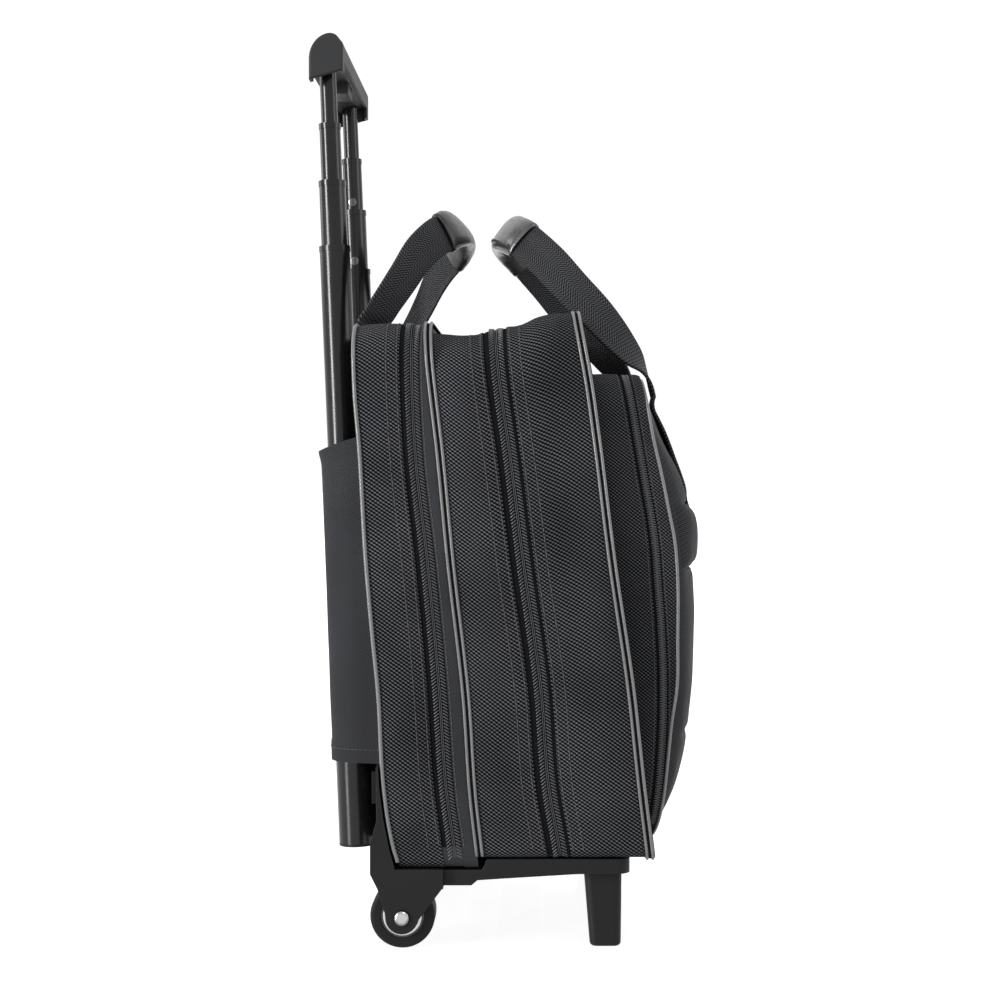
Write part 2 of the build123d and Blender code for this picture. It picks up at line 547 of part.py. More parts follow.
f_o, f_i = front_block(), front_block(WALL)
fring = one(f_o - f_i)
fall = fring & slab(Z2, P3, ZIP_GAP, -PANEL)
fz_zone = slab(Z2, Z2, ZIP_GAP, ZIP_W) & top_band
fz = fall & fz_zone
fg = fall - fz_zone
out("front_gusset", one(fg))
out("front_panel", one(f_o & slab(P3, P3, -PANEL, 0.0)))
out("front_piping", one((front_block(-PIPE_OUT) - f_o) & slab(P3, P3, -PIPE_HW - 1.2, PIPE_HW - 1.2)))

PK = dict(hw=POCKET_HW, z0=POCKET_Z0, t0=POCKET_Z1, t1=POCKET_Z1)


def pocket_tub(ins=0.0, hw=POCKET_HW, z0=POCKET_Z0, z1=POCKET_Z1, rt=26.0, rb=22.0):
    return tub(10.0, 110.0, hw, z0, z1, z1, rt=rt, rb=rb, ins=ins)


p_o, p_i = pocket_tub(), pocket_tub(WALL)
pring = one(p_o - p_i)
pk_band = box(-230, 230, -200, 120, 92.0, 460)
pg_all = pring & slab(P3, Z3, 0.0, -ZIP_GAP, z0=55.0, z1=400.0)
pz_rear_zone = slab(Z3, Z3, -5.5, -ZIP_GAP, z0=55.0, z1=399.0) & pk_band
pz_rear = pg_all & pz_rear_zone
out("pocket_gusset", one(pg_all - pz_rear_zone))
out("front_zipper_halves", Compound(children=[one(fz), one(pz_rear)]))

# pocket cover: side strip, padded front and a raised padded band across it
cover_ring = pring & slab(Z3, P4, ZIP_GAP, 0.0, z0=60.0, z1=399.0)
pz_front_zone = slab(Z3, Z3, ZIP_GAP, 2.9, z0=60.0, z1=399.0) & pk_band
pz_front = cover_ring & pz_front_zone
cover_strip = cover_ring - pz_front_zone
face_skin = p_o & slab(P4, P4, -2.0, 0.0, z0=60.0, z1=399.0) & slab(Z3, P4, ZIP_GAP, 0.0, z0=60.0, z1=399.0)
face_skin = face_skin - pz_front_zone
pad_o = pocket_tub(0.0, hw=PAD_HW, z0=POCKET_Z0 + 1, z1=POCKET_Z1 - 1, rt=22.0, rb=18.0) & slab(P4, PAD, -0.5, 0.0, z0=60.0, z1=399.0)
band = prism([(86.0, 247.0)] + BULGE + [(84.0, 286.0)], -PAD_HW, PAD_HW)
cover = cover_strip + face_skin + pad_o + band
# hollow for the pocket's contents
cav = pocket_tub(WALL + 1.0, rt=26.0, rb=22.0) & slab(Z3, P4, 0.0, -2.0, z0=100.0, z1=366.0)
cover = cover - cav - pz_front_zone
cover = one(cover)
out("pocket_zipper_half", one(pz_front))
out("pocket_piping", one((pocket_tub(-1.8) - p_o) & slab(P4, P4, -1.8, 1.6, z0=60.0, z1=399.0)))

# ===========================================================================
# Carry handles: flat webbing legs with a padded wrap in the middle
# ===========================================================================
def strap(st, width, thick):
    """Ruled loft through (x, u, z, width direction) stations."""
    n = len(st)
    secs = []
    for i, (x, u, z, wd) in enumerate(st):
        c = V(x, u, z)
        a = V(*st[max(i - 1, 0)][:3])
        b = V(*st[min(i + 1, n - 1)][:3])
        t = (b - a).normalized()
        w = Vector(wd[0], -wd[1], wd[2])
        w = (w - t * w.dot(t)).normalized()
        m = t.cross(w).normalized()
        hw, ht = width / 2, thick / 2
        secs.append(Wire.make_polygon([c + w * hw + m * ht, c - w * hw + m * ht, c - w * hw - m * ht, c + w * hw - m * ht], close=True))
    return Solid.make_loft(secs, ruled=True)


def mirrored(st):
    """Half stations (x < 0, last on x = 0) to the full set."""
    right = [(-x, u, z, (-wd[0], wd[1], wd[2])) for x, u, z, wd in st[:-1]][::-1]
    return st + right


# rear handle
RH = [(-112, -129.8, 397.0, (1.0, 0.0, 0.0)), (-112, -132.4, 403.5, (1.0, 0.0, 0.0)), (-111, -132.2, 411.5, (0.98, 0.1, -0.1)),
      (-107, -123.0, 422.0, (0.9, 0.2, -0.25)), (-102, -112.0, 433.0, (0.8, 0.3, -0.35)),
      (-90, -98.0, 454.0, (0.6, 0.45, -0.5)), (-76, -87.0, 471.0, (0.35, 0.5, -0.7)), (-62, -79.6, 481.5, (0.1, 0.55, -0.8)),
      (-40, -73.5, 488.5, (0.0, 0.6, -0.78)), (-20, -71.3, 490.8, (0.0, 0.6, -0.78)), (0, -70.7, 491.4, (0.0, 0.6, -0.78))]
FH = [(-112, 66.9, 361.0, (1.0, 0.0, 0.0)), (-112, 68.4, 369.0, (1.0, 0.0, 0.0)), (-111, 65.8, 378.5, (0.97, 0.1, 0.1)),
      (-110, 59.0, 388.5, (0.8, 0.4, 0.3)), (-108, 48.5, 402.0, (0.6, 0.55, 0.45)), (-104, 33.0, 421.0, (0.4, 0.65, 0.6)),
      (-96, 14.5, 441.5, (0.25, 0.7, 0.65)), (-84, -1.0, 460.0, (0.15, 0.65, 0.7)), (-72, -12.0, 471.5, (0.1, 0.6, 0.75)),
      (-62, -19.0, 478.5, (0.05, 0.6, 0.8)),
      (-40, -28.0, 486.0, (0.0, 0.6, 0.78)), (-20, -32.4, 489.6, (0.0, 0.6, 0.78)), (0, -33.4, 490.5, (0.0, 0.6, 0.78))]
rh = strap(mirrored(RH), 28.0, 2.4)
fh = strap(mirrored(FH), 28.0, 2.4)
rw = strap(mirrored(RH[7:]), 31.0, 12.0) - rh
fw = strap(mirrored(FH[9:]), 31.0, 12.0) - fh
out("rear_handle_webbing", one(rh))
out("front_handle_webbing", one(fh))
out("rear_handle_wrap", Compound(children=rw.solids()))
out("front_handle_wrap", Compound(children=fw.solids()))

# anchors: the same webbing, sewn flat below each pivot
anc_f, anc_r = [], []
for sgn in SIDES:
    pts_o = [(u_at(PAD, z) + 2.4, z) for z in (287.0, 300.0, 310.0, 330.0, 345.0, 359.5)]
    pts_i = [(u_at(PAD, z), z) for z in (359.5, 345.0, 330.0, 310.0, 300.0, 287.0)]
    a = prism(pts_o + pts_i, -126, -98)
    anc_f.append(a if sgn < 0 else mirror_x(a))
    zs = (330.0, 355.0, 381.0, 395.0)
    a = prism([(u_at(P1, z) - 2.4, z) for z in zs] + [(u_at(P1, z), z) for z in zs[::-1]], -126, -98)
    anc_r.append(a if sgn < 0 else mirror_x(a))
out("front_handle_anchors", fuse(*anc_f))
out("rear_handle_anchors", fuse(*anc_r))
out("pocket_cover", cover)

# ===========================================================================
# Zip sliders and pulls. They ride on the top run of each chain.
# ===========================================================================
def slider(x, u, z, sgn):
    """Body on top of the chain at height z; pull pin along Y; pull lies outward."""
    body = box(x - 6, x + 6, u + 0.7, u + 6.2, z + 0.15, z + 2.2) + box(x - 6, x + 6, u - 4.2, u + 6.2, z + 2.2, z + 3.2)
    pin_x, pin_z = x, z + 5.6
    for du in (-3.2, 4.2):
        body = body + box(pin_x - 2.2, pin_x + 2.2, u + du, u + du + 1.0, z + 2.4, pin_z + 1.8)
    pin = Solid.make_cylinder(0.9, 8.4, Plane(origin=V(pin_x, u + 5.2, pin_z), z_dir=(0, 1, 0)))
    body = one(body + pin)
    uc = u + 1.0
    eye = Solid.make_cylinder(2.1, 6.0, Plane(origin=V(pin_x, uc + 3.0, pin_z), z_dir=(0, 1, 0)))
    x0, x1 = (pin_x, pin_x + sgn * 12.0) if sgn > 0 else (pin_x + sgn * 12.0, pin_x)
    neck = box(x0, x1, uc - 2.6, uc + 2.6, pin_z - 0.8, pin_z + 0.8)
    xa, xb = sorted((pin_x + sgn * 7.5, pin_x + sgn * 33.0))
    tab = box(xa, xb, uc - 4.2, uc + 4.2, pin_z - 0.9, pin_z + 0.9)
    pull = eye + neck + tab - Solid.make_cylinder(0.97, 9.0, Plane(origin=V(pin_x, uc + 4.5, pin_z), z_dir=(0, 1, 0)))
    return body, one(pull)


for nm, sgn in (("left", -1), ("right", 1)):
    b, p = slider(sgn * 22.0, u_at(Z1, TOP_R1 - 1), TOP_R1 + 0.1, sgn)
    out("laptop_slider_" + nm, b)
    out("laptop_pull_" + nm, p)
    b, p = slider(sgn * 22.0, u_at(Z2, TOP_F0), TOP_F0 + 1.9, sgn)
    out("main_slider_" + nm, b)
    out("main_pull_" + nm, p)
b, p = slider(0.0, u_at(Z3, 373.6), POCKET_Z1, -1)
out("pocket_slider", b)
out("pocket_pull", p)
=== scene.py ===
import bpy
import bmesh
import math
import numpy as np
from mathutils import Vector, Matrix, noise
from mathutils.bvhtree import BVHTree


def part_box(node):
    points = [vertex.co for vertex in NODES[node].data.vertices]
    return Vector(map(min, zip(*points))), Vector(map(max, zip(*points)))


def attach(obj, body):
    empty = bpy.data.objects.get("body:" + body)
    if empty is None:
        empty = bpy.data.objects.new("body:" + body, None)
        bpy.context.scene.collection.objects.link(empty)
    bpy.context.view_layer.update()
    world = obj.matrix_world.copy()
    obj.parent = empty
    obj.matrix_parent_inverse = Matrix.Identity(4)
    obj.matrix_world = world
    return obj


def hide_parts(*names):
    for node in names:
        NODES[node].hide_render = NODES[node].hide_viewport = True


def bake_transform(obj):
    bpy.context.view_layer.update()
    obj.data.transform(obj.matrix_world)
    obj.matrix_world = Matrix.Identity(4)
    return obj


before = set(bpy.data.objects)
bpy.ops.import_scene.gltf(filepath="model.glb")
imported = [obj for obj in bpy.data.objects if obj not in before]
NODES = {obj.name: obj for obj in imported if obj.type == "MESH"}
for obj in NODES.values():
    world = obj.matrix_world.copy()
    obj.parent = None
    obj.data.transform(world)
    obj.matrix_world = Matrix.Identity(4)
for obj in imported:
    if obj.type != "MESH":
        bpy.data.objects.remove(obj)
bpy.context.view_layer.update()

# ---------------------------------------------------------------------------
# Side-view coordinates: u grows towards the front, Y = -(u - U0). The shift
# keeps every hand-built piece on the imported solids.
# ---------------------------------------------------------------------------
U0 = -37.4
_lo, _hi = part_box("base_tray")
SH = np.array([(_lo.x + _hi.x) / 2, _lo.y - (-(52.0 - U0)) * 0.001, _lo.z - 0.041])


def W(a):
    """(x, u, z) in millimetres to the row frame in metres."""
    a = np.asarray(a, float)
    out = np.empty_like(a)
    out[..., 0] = a[..., 0] * 0.001 + SH[0]
    out[..., 1] = -(a[..., 1] - U0) * 0.001 + SH[1]
    out[..., 2] = a[..., 2] * 0.001 + SH[2]
    return out


class Prof:
    """Smooth side outline u(z) through (u, z) points."""

    def __init__(self, pts):
        pts = sorted(pts, key=lambda p: p[1])
        self.z = np.array([p[1] for p in pts], float)
        self.u = np.array([p[0] for p in pts], float)
        d = np.diff(self.u) / np.diff(self.z)
        h = np.diff(self.z)
        m = np.empty(len(pts))
        m[0], m[-1] = d[0], d[-1]
        m[1:-1] = (d[:-1] * h[1:] + d[1:] * h[:-1]) / (h[1:] + h[:-1])
        self.m = m

    def __call__(self, z):
        z = np.asarray(z, float)
        zc = np.clip(z, self.z[0], self.z[-1])
        i = np.clip(np.searchsorted(self.z, zc) - 1, 0, len(self.z) - 2)
        h = self.z[i + 1] - self.z[i]
        t = (zc - self.z[i]) / h
        a, b = self.u[i], self.u[i + 1]
        ma, mb = self.m[i] * h, self.m[i + 1] * h
        t2, t3 = t * t, t * t * t
        return (2 * t3 - 3 * t2 + 1) * a + (t3 - 2 * t2 + t) * ma + (-2 * t3 + 3 * t2) * b + (t3 - t2) * mb


P1 = Prof([(-98.1, 48.0), (-98.1, 53.3), (-101.3, 64.9), (-105.2, 84.2), (-107.7, 103.6), (-111.6, 168.0), (-114.8, 200.0), (-119.4, 252.0), (-124.0, 329.0), (-126.3, 355.0), (-127.5, 381.0), (-128.4, 405.0), (-128.6, 440.0)])
Z1 = Prof([(-60.0, 40.0), (-60.6, 52.0), (-67.1, 103.6), (-71.6, 168.0), (-79.4, 252.0), (-87.0, 319.0), (-89.0, 355.0), (-90.0, 440.0)])
P2 = Prof([(-43.5, 40.0), (-45.0, 56.0), (-49.7, 97.0), (-54.2, 161.7), (-64.5, 252.0), (-71.0, 319.0), (-78.7, 387.0), (-82.0, 440.0)])
Z2 = Prof([(9.0, 40.0), (7.1, 58.0), (-0.6, 103.6), (-5.8, 168.0), (-17.4, 252.0), (-25.8, 319.0), (-33.5, 374.6), (-38.0, 440.0)])
P3 = Prof([(67.0, 40.0), (65.0, 58.0), (59.4, 103.6), (52.3, 168.0), (40.0, 252.0), (30.3, 329.4), (25.8, 361.7), (16.8, 414.0), (14.0, 440.0)])
Z3 = Prof([(63.0, 50.0), (65.6, 68.4), (68.0, 80.0), (70.3, 93.7), (72.8, 120.5), (73.9, 140.0), (74.3, 172.8), (72.6, 212.0), (70.6, 238.2), (69.3, 257.8), (66.7, 277.4), (62.1, 303.6), (57.5, 329.8), (53.0, 356.0), (49.7, 373.6), (45.0, 400.0)])
P4 = Prof([(65.0, 50.0), (67.4, 68.4), (70.6, 80.0), (73.4, 93.7), (76.6, 120.5), (79.3, 146.0), (82.4, 166.0), (83.0, 199.0), (83.0, 238.0), (81.0, 264.4), (77.2, 284.0), (71.9, 310.0), (67.3, 329.8), (63.4, 352.0), (60.2, 370.3), (55.5, 400.0)])
PAD = Prof([(65.2, 50.0), (68.6, 68.4), (84.4, 98.2), (92.8, 134.6), (95.8, 158.0), (97.2, 191.0), (97.2, 224.0), (95.6, 248.0), (94.2, 283.6), (87.2, 310.0), (76.8, 330.0), (60.6, 372.0), (56.0, 400.0)])


def curve(pts):
    """z of the top line as a function of u."""
    p = Prof([(z, u) for u, z in pts])
    return lambda u: float(p(u))


TOP_R = curve([(-130.0, 404.6), (-126.0, 405.4), (-110.0, 406.6), (-96.0, 407.2), (-89.0, 407.6), (-80.0, 407.0)])
TOP_S = curve([(-92.0, 406.6), (-86.0, 406.5), (-80.0, 406.8), (-76.0, 406.8)])
TOP_M = curve([(-82.0, 403.2), (-76.0, 400.3), (-66.0, 399.0), (-54.0, 398.8), (-47.0, 400.0), (-42.0, 402.6), (-36.0, 403.8), (-30.0, 404.0)])
TOP_F = curve([(-38.0, 404.2), (-29.7, 404.9), (-19.4, 406.0), (-6.5, 410.8), (3.0, 413.0), (12.9, 413.8), (18.0, 414.0)])
Z0R, Z0F = 52.0, 58.5
HW = 208.0
LOW = 59.0
RB = 7.0

NB, NC, NS, NT = 52, 12, 90, 84      # points along bottom, each corner, each side, top


def rr(hw, z0, zt, rb=RB, rt=30.0, ins=0.0):
    """Rounded rectangle loop from the bottom centre, counter-clockwise seen from the back: x, z and outward normal."""
    hw, z0, zt = hw - ins, z0 + ins, zt - ins
    rb, rt = max(rb - ins, 3.0), max(rt - ins, 3.0)
    x, z, nx, nz = [], [], [], []

    def line(x0, z0_, x1, z1_, n, a, b):
        t = np.arange(n) / n
        x.append(x0 + (x1 - x0) * t)
        z.append(z0_ + (z1_ - z0_) * t)
        nx.append(np.full(n, a, float))
        nz.append(np.full(n, b, float))

    def arc(cx, cz, r, a0, n=NC):
        a = np.radians(a0 + 90.0 * np.arange(n) / n)
        x.append(cx + r * np.cos(a))
        z.append(cz + r * np.sin(a))
        nx.append(np.cos(a))
        nz.append(np.sin(a))
    h = NB // 2
    line(0, z0, hw - rb, z0, h, 0, -1)
    arc(hw - rb, z0 + rb, rb, -90)
    line(hw, z0 + rb, hw, zt - rt, NS, 1, 0)
    arc(hw - rt, zt - rt, rt, 0)
    line(hw - rt, zt, -(hw - rt), zt, NT, 0, 1)
    arc(-(hw - rt), zt - rt, rt, 90)
    line(-hw, zt - rt, -hw, z0 + rb, NS, -1, 0)
    arc(-(hw - rb), z0 + rb, rb, 180)
    line(-(hw - rb), z0, 0, z0, h, 0, -1)
    return np.concatenate(x), np.concatenate(z), np.concatenate(nx), np.concatenate(nz)


NLOOP = NB + 4 * NC + 2 * NS + NT
SIDE0 = NB // 2 + NC


def split_index(z0, rb, zt, rt, z):
    """Index on the right side at height z, and its mirror on the left side."""
    if z < z0 + rb:
        a = math.degrees(math.asin(max(-1.0, (z - z0 - rb) / rb)))
        i0 = NB // 2 + int(round(NC * (a + 90.0) / 90.0))
        return i0, NLOOP - i0
    k = int(round((z - (z0 + rb)) / ((zt - rt) - (z0 + rb)) * NS))
    k = max(0, min(NS - 1, k))
    i0 = SIDE0 + k
    return i0, NLOOP - i0


# ---------------------------------------------------------------------------
# Mesh building
# ---------------------------------------------------------------------------
COLL = bpy.context.scene.collection


class MB:
    def __init__(self):
        self.v, self.f, self.uv, self.m = [], [], [], []

    def verts(self, a):
        a = np.asarray(a, float).reshape(-1, 3)
        base = len(self.v)
        self.v.extend(a.tolist())
        return base

    def face(self, idx, uv=None, mat=0):
        self.f.append(tuple(idx))
        self.uv.append(uv if uv is not None else [(0.0, 0.0)] * len(idx))
        self.m.append(mat)

    def grid(self, G, closed=False, UV=None, flip=False, mat=0):
        ni, nj = G.shape[:2]
        b = self.verts(G)
        n = ni if closed else ni - 1
        for i in range(n):
            i2 = (i + 1) % ni
            for j in range(nj - 1):
                q = [b + i * nj + j, b + i2 * nj + j, b + i2 * nj + j + 1, b + i * nj + j + 1]
                if UV is not None:
                    w = [tuple(UV[i, j]), tuple(UV[i + 1, j]), tuple(UV[i + 1, j + 1]), tuple(UV[i, j + 1])]
                else:
                    w = [(0.0, 0.0)] * 4
                if flip:
                    q.reverse()
                    w = w[::-1]
                self.face(q, w, mat)
        return b

    def obj(self, name, mats, smooth=40.0, world=True, recalc=True):
        me = bpy.data.meshes.new(name)
        co = W(np.array(self.v)) if world else np.array(self.v)
        me.from_pydata(co.tolist(), [], self.f)
        uvl = me.uv_layers.new(name="UVMap")
        flat = np.array([c for f in self.uv for c in f], np.float32).ravel()
        uvl.data.foreach_set("uv", flat)
        me.polygons.foreach_set("material_index", np.array(self.m, np.int32))
        if recalc:
            bm = bmesh.new()
            bm.from_mesh(me)
            bmesh.ops.recalc_face_normals(bm, faces=bm.faces)
            bm.to_mesh(me)
            bm.free()
        me.polygons.foreach_set("use_smooth", np.ones(len(me.polygons), bool))
        if smooth:
            me.set_sharp_from_angle(angle=math.radians(smooth))
        for m in mats:
            me.materials.append(m)
        me.update()
        o = bpy.data.objects.new(name, me)
        COLL.objects.link(o)
        return o


def nz3(p, s=1.0, seed=0.0):
    return noise.noise(Vector((p[0] * s + seed, p[1] * s - seed, p[2] * s + 0.37 * seed)))


def grid_uv(G, closed):
    """Arc-length UV in metres: first along the loop, then across."""
    ni, nj = G.shape[:2]
    H = np.concatenate([G, G[:1]], 0) if closed else G
    mid = H[:, nj // 2]
    along = np.concatenate([[0], np.cumsum(np.linalg.norm(np.diff(mid, axis=0), axis=1))])
    across = np.zeros(H.shape[:2])
    across[:, 1:] = np.cumsum(np.linalg.norm(np.diff(H, axis=1), axis=2), axis=1)
    across -= across[:, nj // 2:nj // 2 + 1]
    return np.stack([np.repeat(along[:, None], nj, 1), across], -1) * 0.001


def shell(name, Go, Gi, closed, mats, inner_mat=0, edge_mat=0):
    """Closed skin between an outer and an inner grid."""
    mb = MB()
    ni, nj = Go.shape[:2]
    UV = grid_uv(Go, closed)
    a = mb.grid(Go, closed, UV)
    b = mb.grid(Gi, closed, UV, flip=True, mat=inner_mat)
    n = ni if closed else ni - 1
    for i in range(n):
        i2 = (i + 1) % ni
        for j in (0, nj - 1):
            uv = [tuple(UV[i, j]), tuple(UV[i + 1, j]), tuple(UV[i + 1, j]), tuple(UV[i, j])]
            mb.face([a + i * nj + j, a + i2 * nj + j, b + i2 * nj + j, b + i * nj + j], uv, edge_mat)
    if not closed:
        for i in (0, ni - 1):
            for j in range(nj - 1):
                uv = [tuple(UV[i, j]), tuple(UV[i, j + 1]), tuple(UV[i, j + 1]), tuple(UV[i, j])]
                mb.face([a + i * nj + j, a + i * nj + j + 1, b + i * nj + j + 1, b + i * nj + j], uv, edge_mat)
    return mb.obj(name, mats)


def ring(ua, ub, top, z0, nj, puff=0.0, ins=0.0, hw=HW, rb=RB, rt=30.0, lift=None, wrinkle=0.5, seed=1.0, zt=None):
    """Grid (loop points x across) from outline ua(z) to ub(z), with the fabric standing a little proud between them."""
    G = np.empty((NLOOP, nj, 3))
    for j in range(nj):
        s = j / (nj - 1)
        ut = float(ua(400.0)) * (1 - s) + float(ub(400.0)) * s
        zt_ = top(ut) if zt is None else zt
        x, z, nx, nz = rr(hw, z0, zt_, rb, rt, ins)
        u = ua(z) * (1 - s) + ub(z) * s
        mask = np.clip((nz + 0.25) / 0.35, 0, 1) * np.clip((z - (z0 + 4)) / 40.0, 0, 1)
        crown = (1 - (2 * s - 1) ** 2) ** 0.7
        d = puff * crown * mask * (1 - 0.55 * np.clip(nz, 0, 1))
        if lift is not None:
            d = d + lift(s) * mask
        if wrinkle:
            w = np.array([nz3((xx, uu * 0.6, zz), 0.021, seed) + 0.45 * nz3((xx, uu, zz * 0.5), 0.06, seed + 7) for xx, uu, zz in zip(x, u, z)])
            edge = min(1.0, 6.0 * min(s, 1 - s) + 0.15)
            d = d + wrinkle * w * mask * edge
        G[:, j, 0] = x + nx * d
        G[:, j, 1] = u
        G[:, j, 2] = z + nz * d
    return G


def off(p, d):
    return lambda z: p(z) + d


# ---------------------------------------------------------------------------
# Materials (all procedural)
# ---------------------------------------------------------------------------
class Mat:
    def __init__(self, name):
        self.m = bpy.data.materials.new(name)
        self.m.use_nodes = True
        self.t = self.m.node_tree
        self.t.nodes.clear()
        self.out = self.t.nodes.new("ShaderNodeOutputMaterial")
        self.b = self.t.nodes.new("ShaderNodeBsdfPrincipled")
        self.t.links.new(self.b.outputs[0], self.out.inputs[0])

    def n(self, kind, inputs=None, **props):
        nd = self.t.nodes.new("ShaderNode" + kind)
        for k, v in props.items():
            setattr(nd, k, v)
        for k, v in (inputs or {}).items():
            self.put(nd.inputs[k], v)
        return nd

    def put(self, sock, v):
        if isinstance(v, bpy.types.NodeSocket):
            self.t.links.new(v, sock)
        elif hasattr(sock, "default_value"):
            if hasattr(sock.default_value, "__len__") and not hasattr(v, "__len__"):
                v = (v, v, v, 1.0)[:len(sock.default_value)]
            sock.default_value = v

    def math(self, op, a, b=0.0, c=0.0):
        nd = self.n("Math", operation=op)
        self.put(nd.inputs[0], a)
        self.put(nd.inputs[1], b)
        if len(nd.inputs) > 2:
            self.put(nd.inputs[2], c)
        return nd.outputs[0]

    def ramp(self, fac, stops, interp="LINEAR"):
        nd = self.n("ValToRGB")
        nd.color_ramp.interpolation = interp
        el = nd.color_ramp.elements
        while len(el) > 1:
            el.remove(el[-1])
        el[0].position, el[0].color = stops[0][0], rgba(stops[0][1])
        for p, c in stops[1:]:
            e = el.new(p)
            e.color = rgba(c)
        self.put(nd.inputs[0], fac)
        return nd.outputs[0]

    def mix(self, fac, a, b):
        nd = self.n("Mix", data_type="RGBA")
        self.put(nd.inputs[0], fac)
        self.put(nd.inputs[6], rgba(a) if not isinstance(a, bpy.types.NodeSocket) else a)
        self.put(nd.inputs[7], rgba(b) if not isinstance(b, bpy.types.NodeSocket) else b)
        return nd.outputs[2]

    def noise(self, vec, scale, detail=3.0, rough=0.5):
        return self.n("TexNoise", {"Vector": vec, "Scale": scale, "Detail": detail, "Roughness": rough}).outputs["Fac"]

    def maprange(self, v, a, b, c, d):
        nd = self.n("MapRange", {"Value": v, "From Min": a, "From Max": b, "To Min": c, "To Max": d})
        return nd.outputs[0]

    def bump(self, height, strength, dist=0.001, normal=None):
        nd = self.n("Bump", {"Height": height, "Strength": strength, "Distance": dist})
        if normal is not None:
            self.put(nd.inputs["Normal"], normal)
        return nd.outputs[0]

    def set(self, **kw):
        for k, v in kw.items():
            self.put(self.b.inputs[k.replace("_", " ")], v)

    def coords(self, kind="Object"):
        return self.n("TexCoord").outputs[kind]

    def uv(self):
        return self.n("UVMap", uv_map="UVMap").outputs[0]

    def sep(self, v):
        nd = self.n("SeparateXYZ", {0: v})
        return nd.outputs[0], nd.outputs[1], nd.outputs[2]


def rgba(c):
    if isinstance(c, (int, float)):
        c = (c, c, c)
    return tuple(c) + (1.0,) if len(c) == 3 else tuple(c)


def fabric(name, dark, light, period, use="uv", bump=0.35, rough=0.72, kind="basket", sheen=0.03, contrast=1.0, aspect=1.0, spec=0.22, tone=0.16):
    m = Mat(name)
    oc = m.coords()
    if use == "uv":
        a, b, _ = m.sep(m.uv())
    else:
        x, y, z = m.sep(oc)
        a, b = {"xz": (x, z), "yz": (y, z), "xy": (x, y)}[use]
    # yarn wander keeps the weave from looking printed
    wob = m.noise(oc, 55.0, 2.0)
    a = m.math("ADD", a, m.math("MULTIPLY", m.math("SUBTRACT", wob, 0.5), 0.0012))
    b = m.math("ADD", b, m.math("MULTIPLY", m.math("SUBTRACT", m.noise(oc, 41.0, 2.0), 0.5), 0.0012))
    ka = m.math("MULTIPLY", a, 2 * math.pi / period)
    kb = m.math("MULTIPLY", b, 2 * math.pi / (period * aspect))
    if kind == "basket":
        s = m.math("MULTIPLY", m.math("SINE", ka), m.math("SINE", kb))
        h = m.math("MULTIPLY_ADD", s, 0.5, 0.5)
    elif kind == "diagonal":
        s = m.math("SINE", m.math("SUBTRACT", ka, kb))
        r = m.math("SINE", m.math("ADD", ka, kb))
        h = m.math("MULTIPLY_ADD", m.math("MULTIPLY_ADD", r, 0.5, s), 0.34, 0.5)
    elif kind == "twill":
        s = m.math("SINE", m.math("ADD", ka, kb))
        r = m.math("SINE", m.math("MULTIPLY", m.math("SUBTRACT", ka, kb), 0.5))
        h = m.math("MULTIPLY_ADD", m.math("MULTIPLY_ADD", r, 0.25, s), 0.4, 0.5)
    else:            # ribs across a webbing with chevron crossings
        tri = m.math("PINGPONG", a, period * 4.0)
        s = m.math("SINE", m.math("ADD", m.math("MULTIPLY", tri, 2 * math.pi / period), kb))
        r = m.math("SINE", kb)
        h = m.math("MULTIPLY_ADD", m.math("MULTIPLY_ADD", r, 0.5, s), 0.33, 0.5)
    h = m.math("MINIMUM", m.math("MAXIMUM", h, 0.0), 1.0)
    fib = m.noise(oc, 2600.0, 2.0)
    big = m.noise(oc, 14.0, 3.0)
    # Colour runs from the dark colour in the weave valleys to the light colour on the yarn tops: partly the weave
    # pattern, partly painted shade in the valleys between yarns, deepened by the contrast power.
    col = m.mix(m.math("POWER", h, 1.0 / max(contrast, 0.05)), dark, light)
    tint = m.math("ADD", m.maprange(big, 0.3, 0.7, 1.0 - tone, 1.0 + tone), m.math("MULTIPLY", m.math("SUBTRACT", fib, 0.5), 0.35))
    col = m.n("Mix", {0: 1.0, 6: col, 7: m.n("CombineColor", {0: tint, 1: tint, 2: tint}).outputs[0]}, data_type="RGBA", blend_type="MULTIPLY").outputs[2]
    hh = m.math("MULTIPLY_ADD", fib, 0.25, h)
    nrm = m.bump(hh, bump, 0.0006)
    m.set(Base_Color=col, Roughness=m.maprange(h, 0.0, 1.0, min(rough + 0.1, 1.0), rough - 0.06), Normal=nrm, Sheen_Weight=sheen, Sheen_Roughness=0.5, Specular_IOR_Level=m.maprange(h, 0.0, 1.0, spec * 0.15, spec * 1.4))
    return m.m


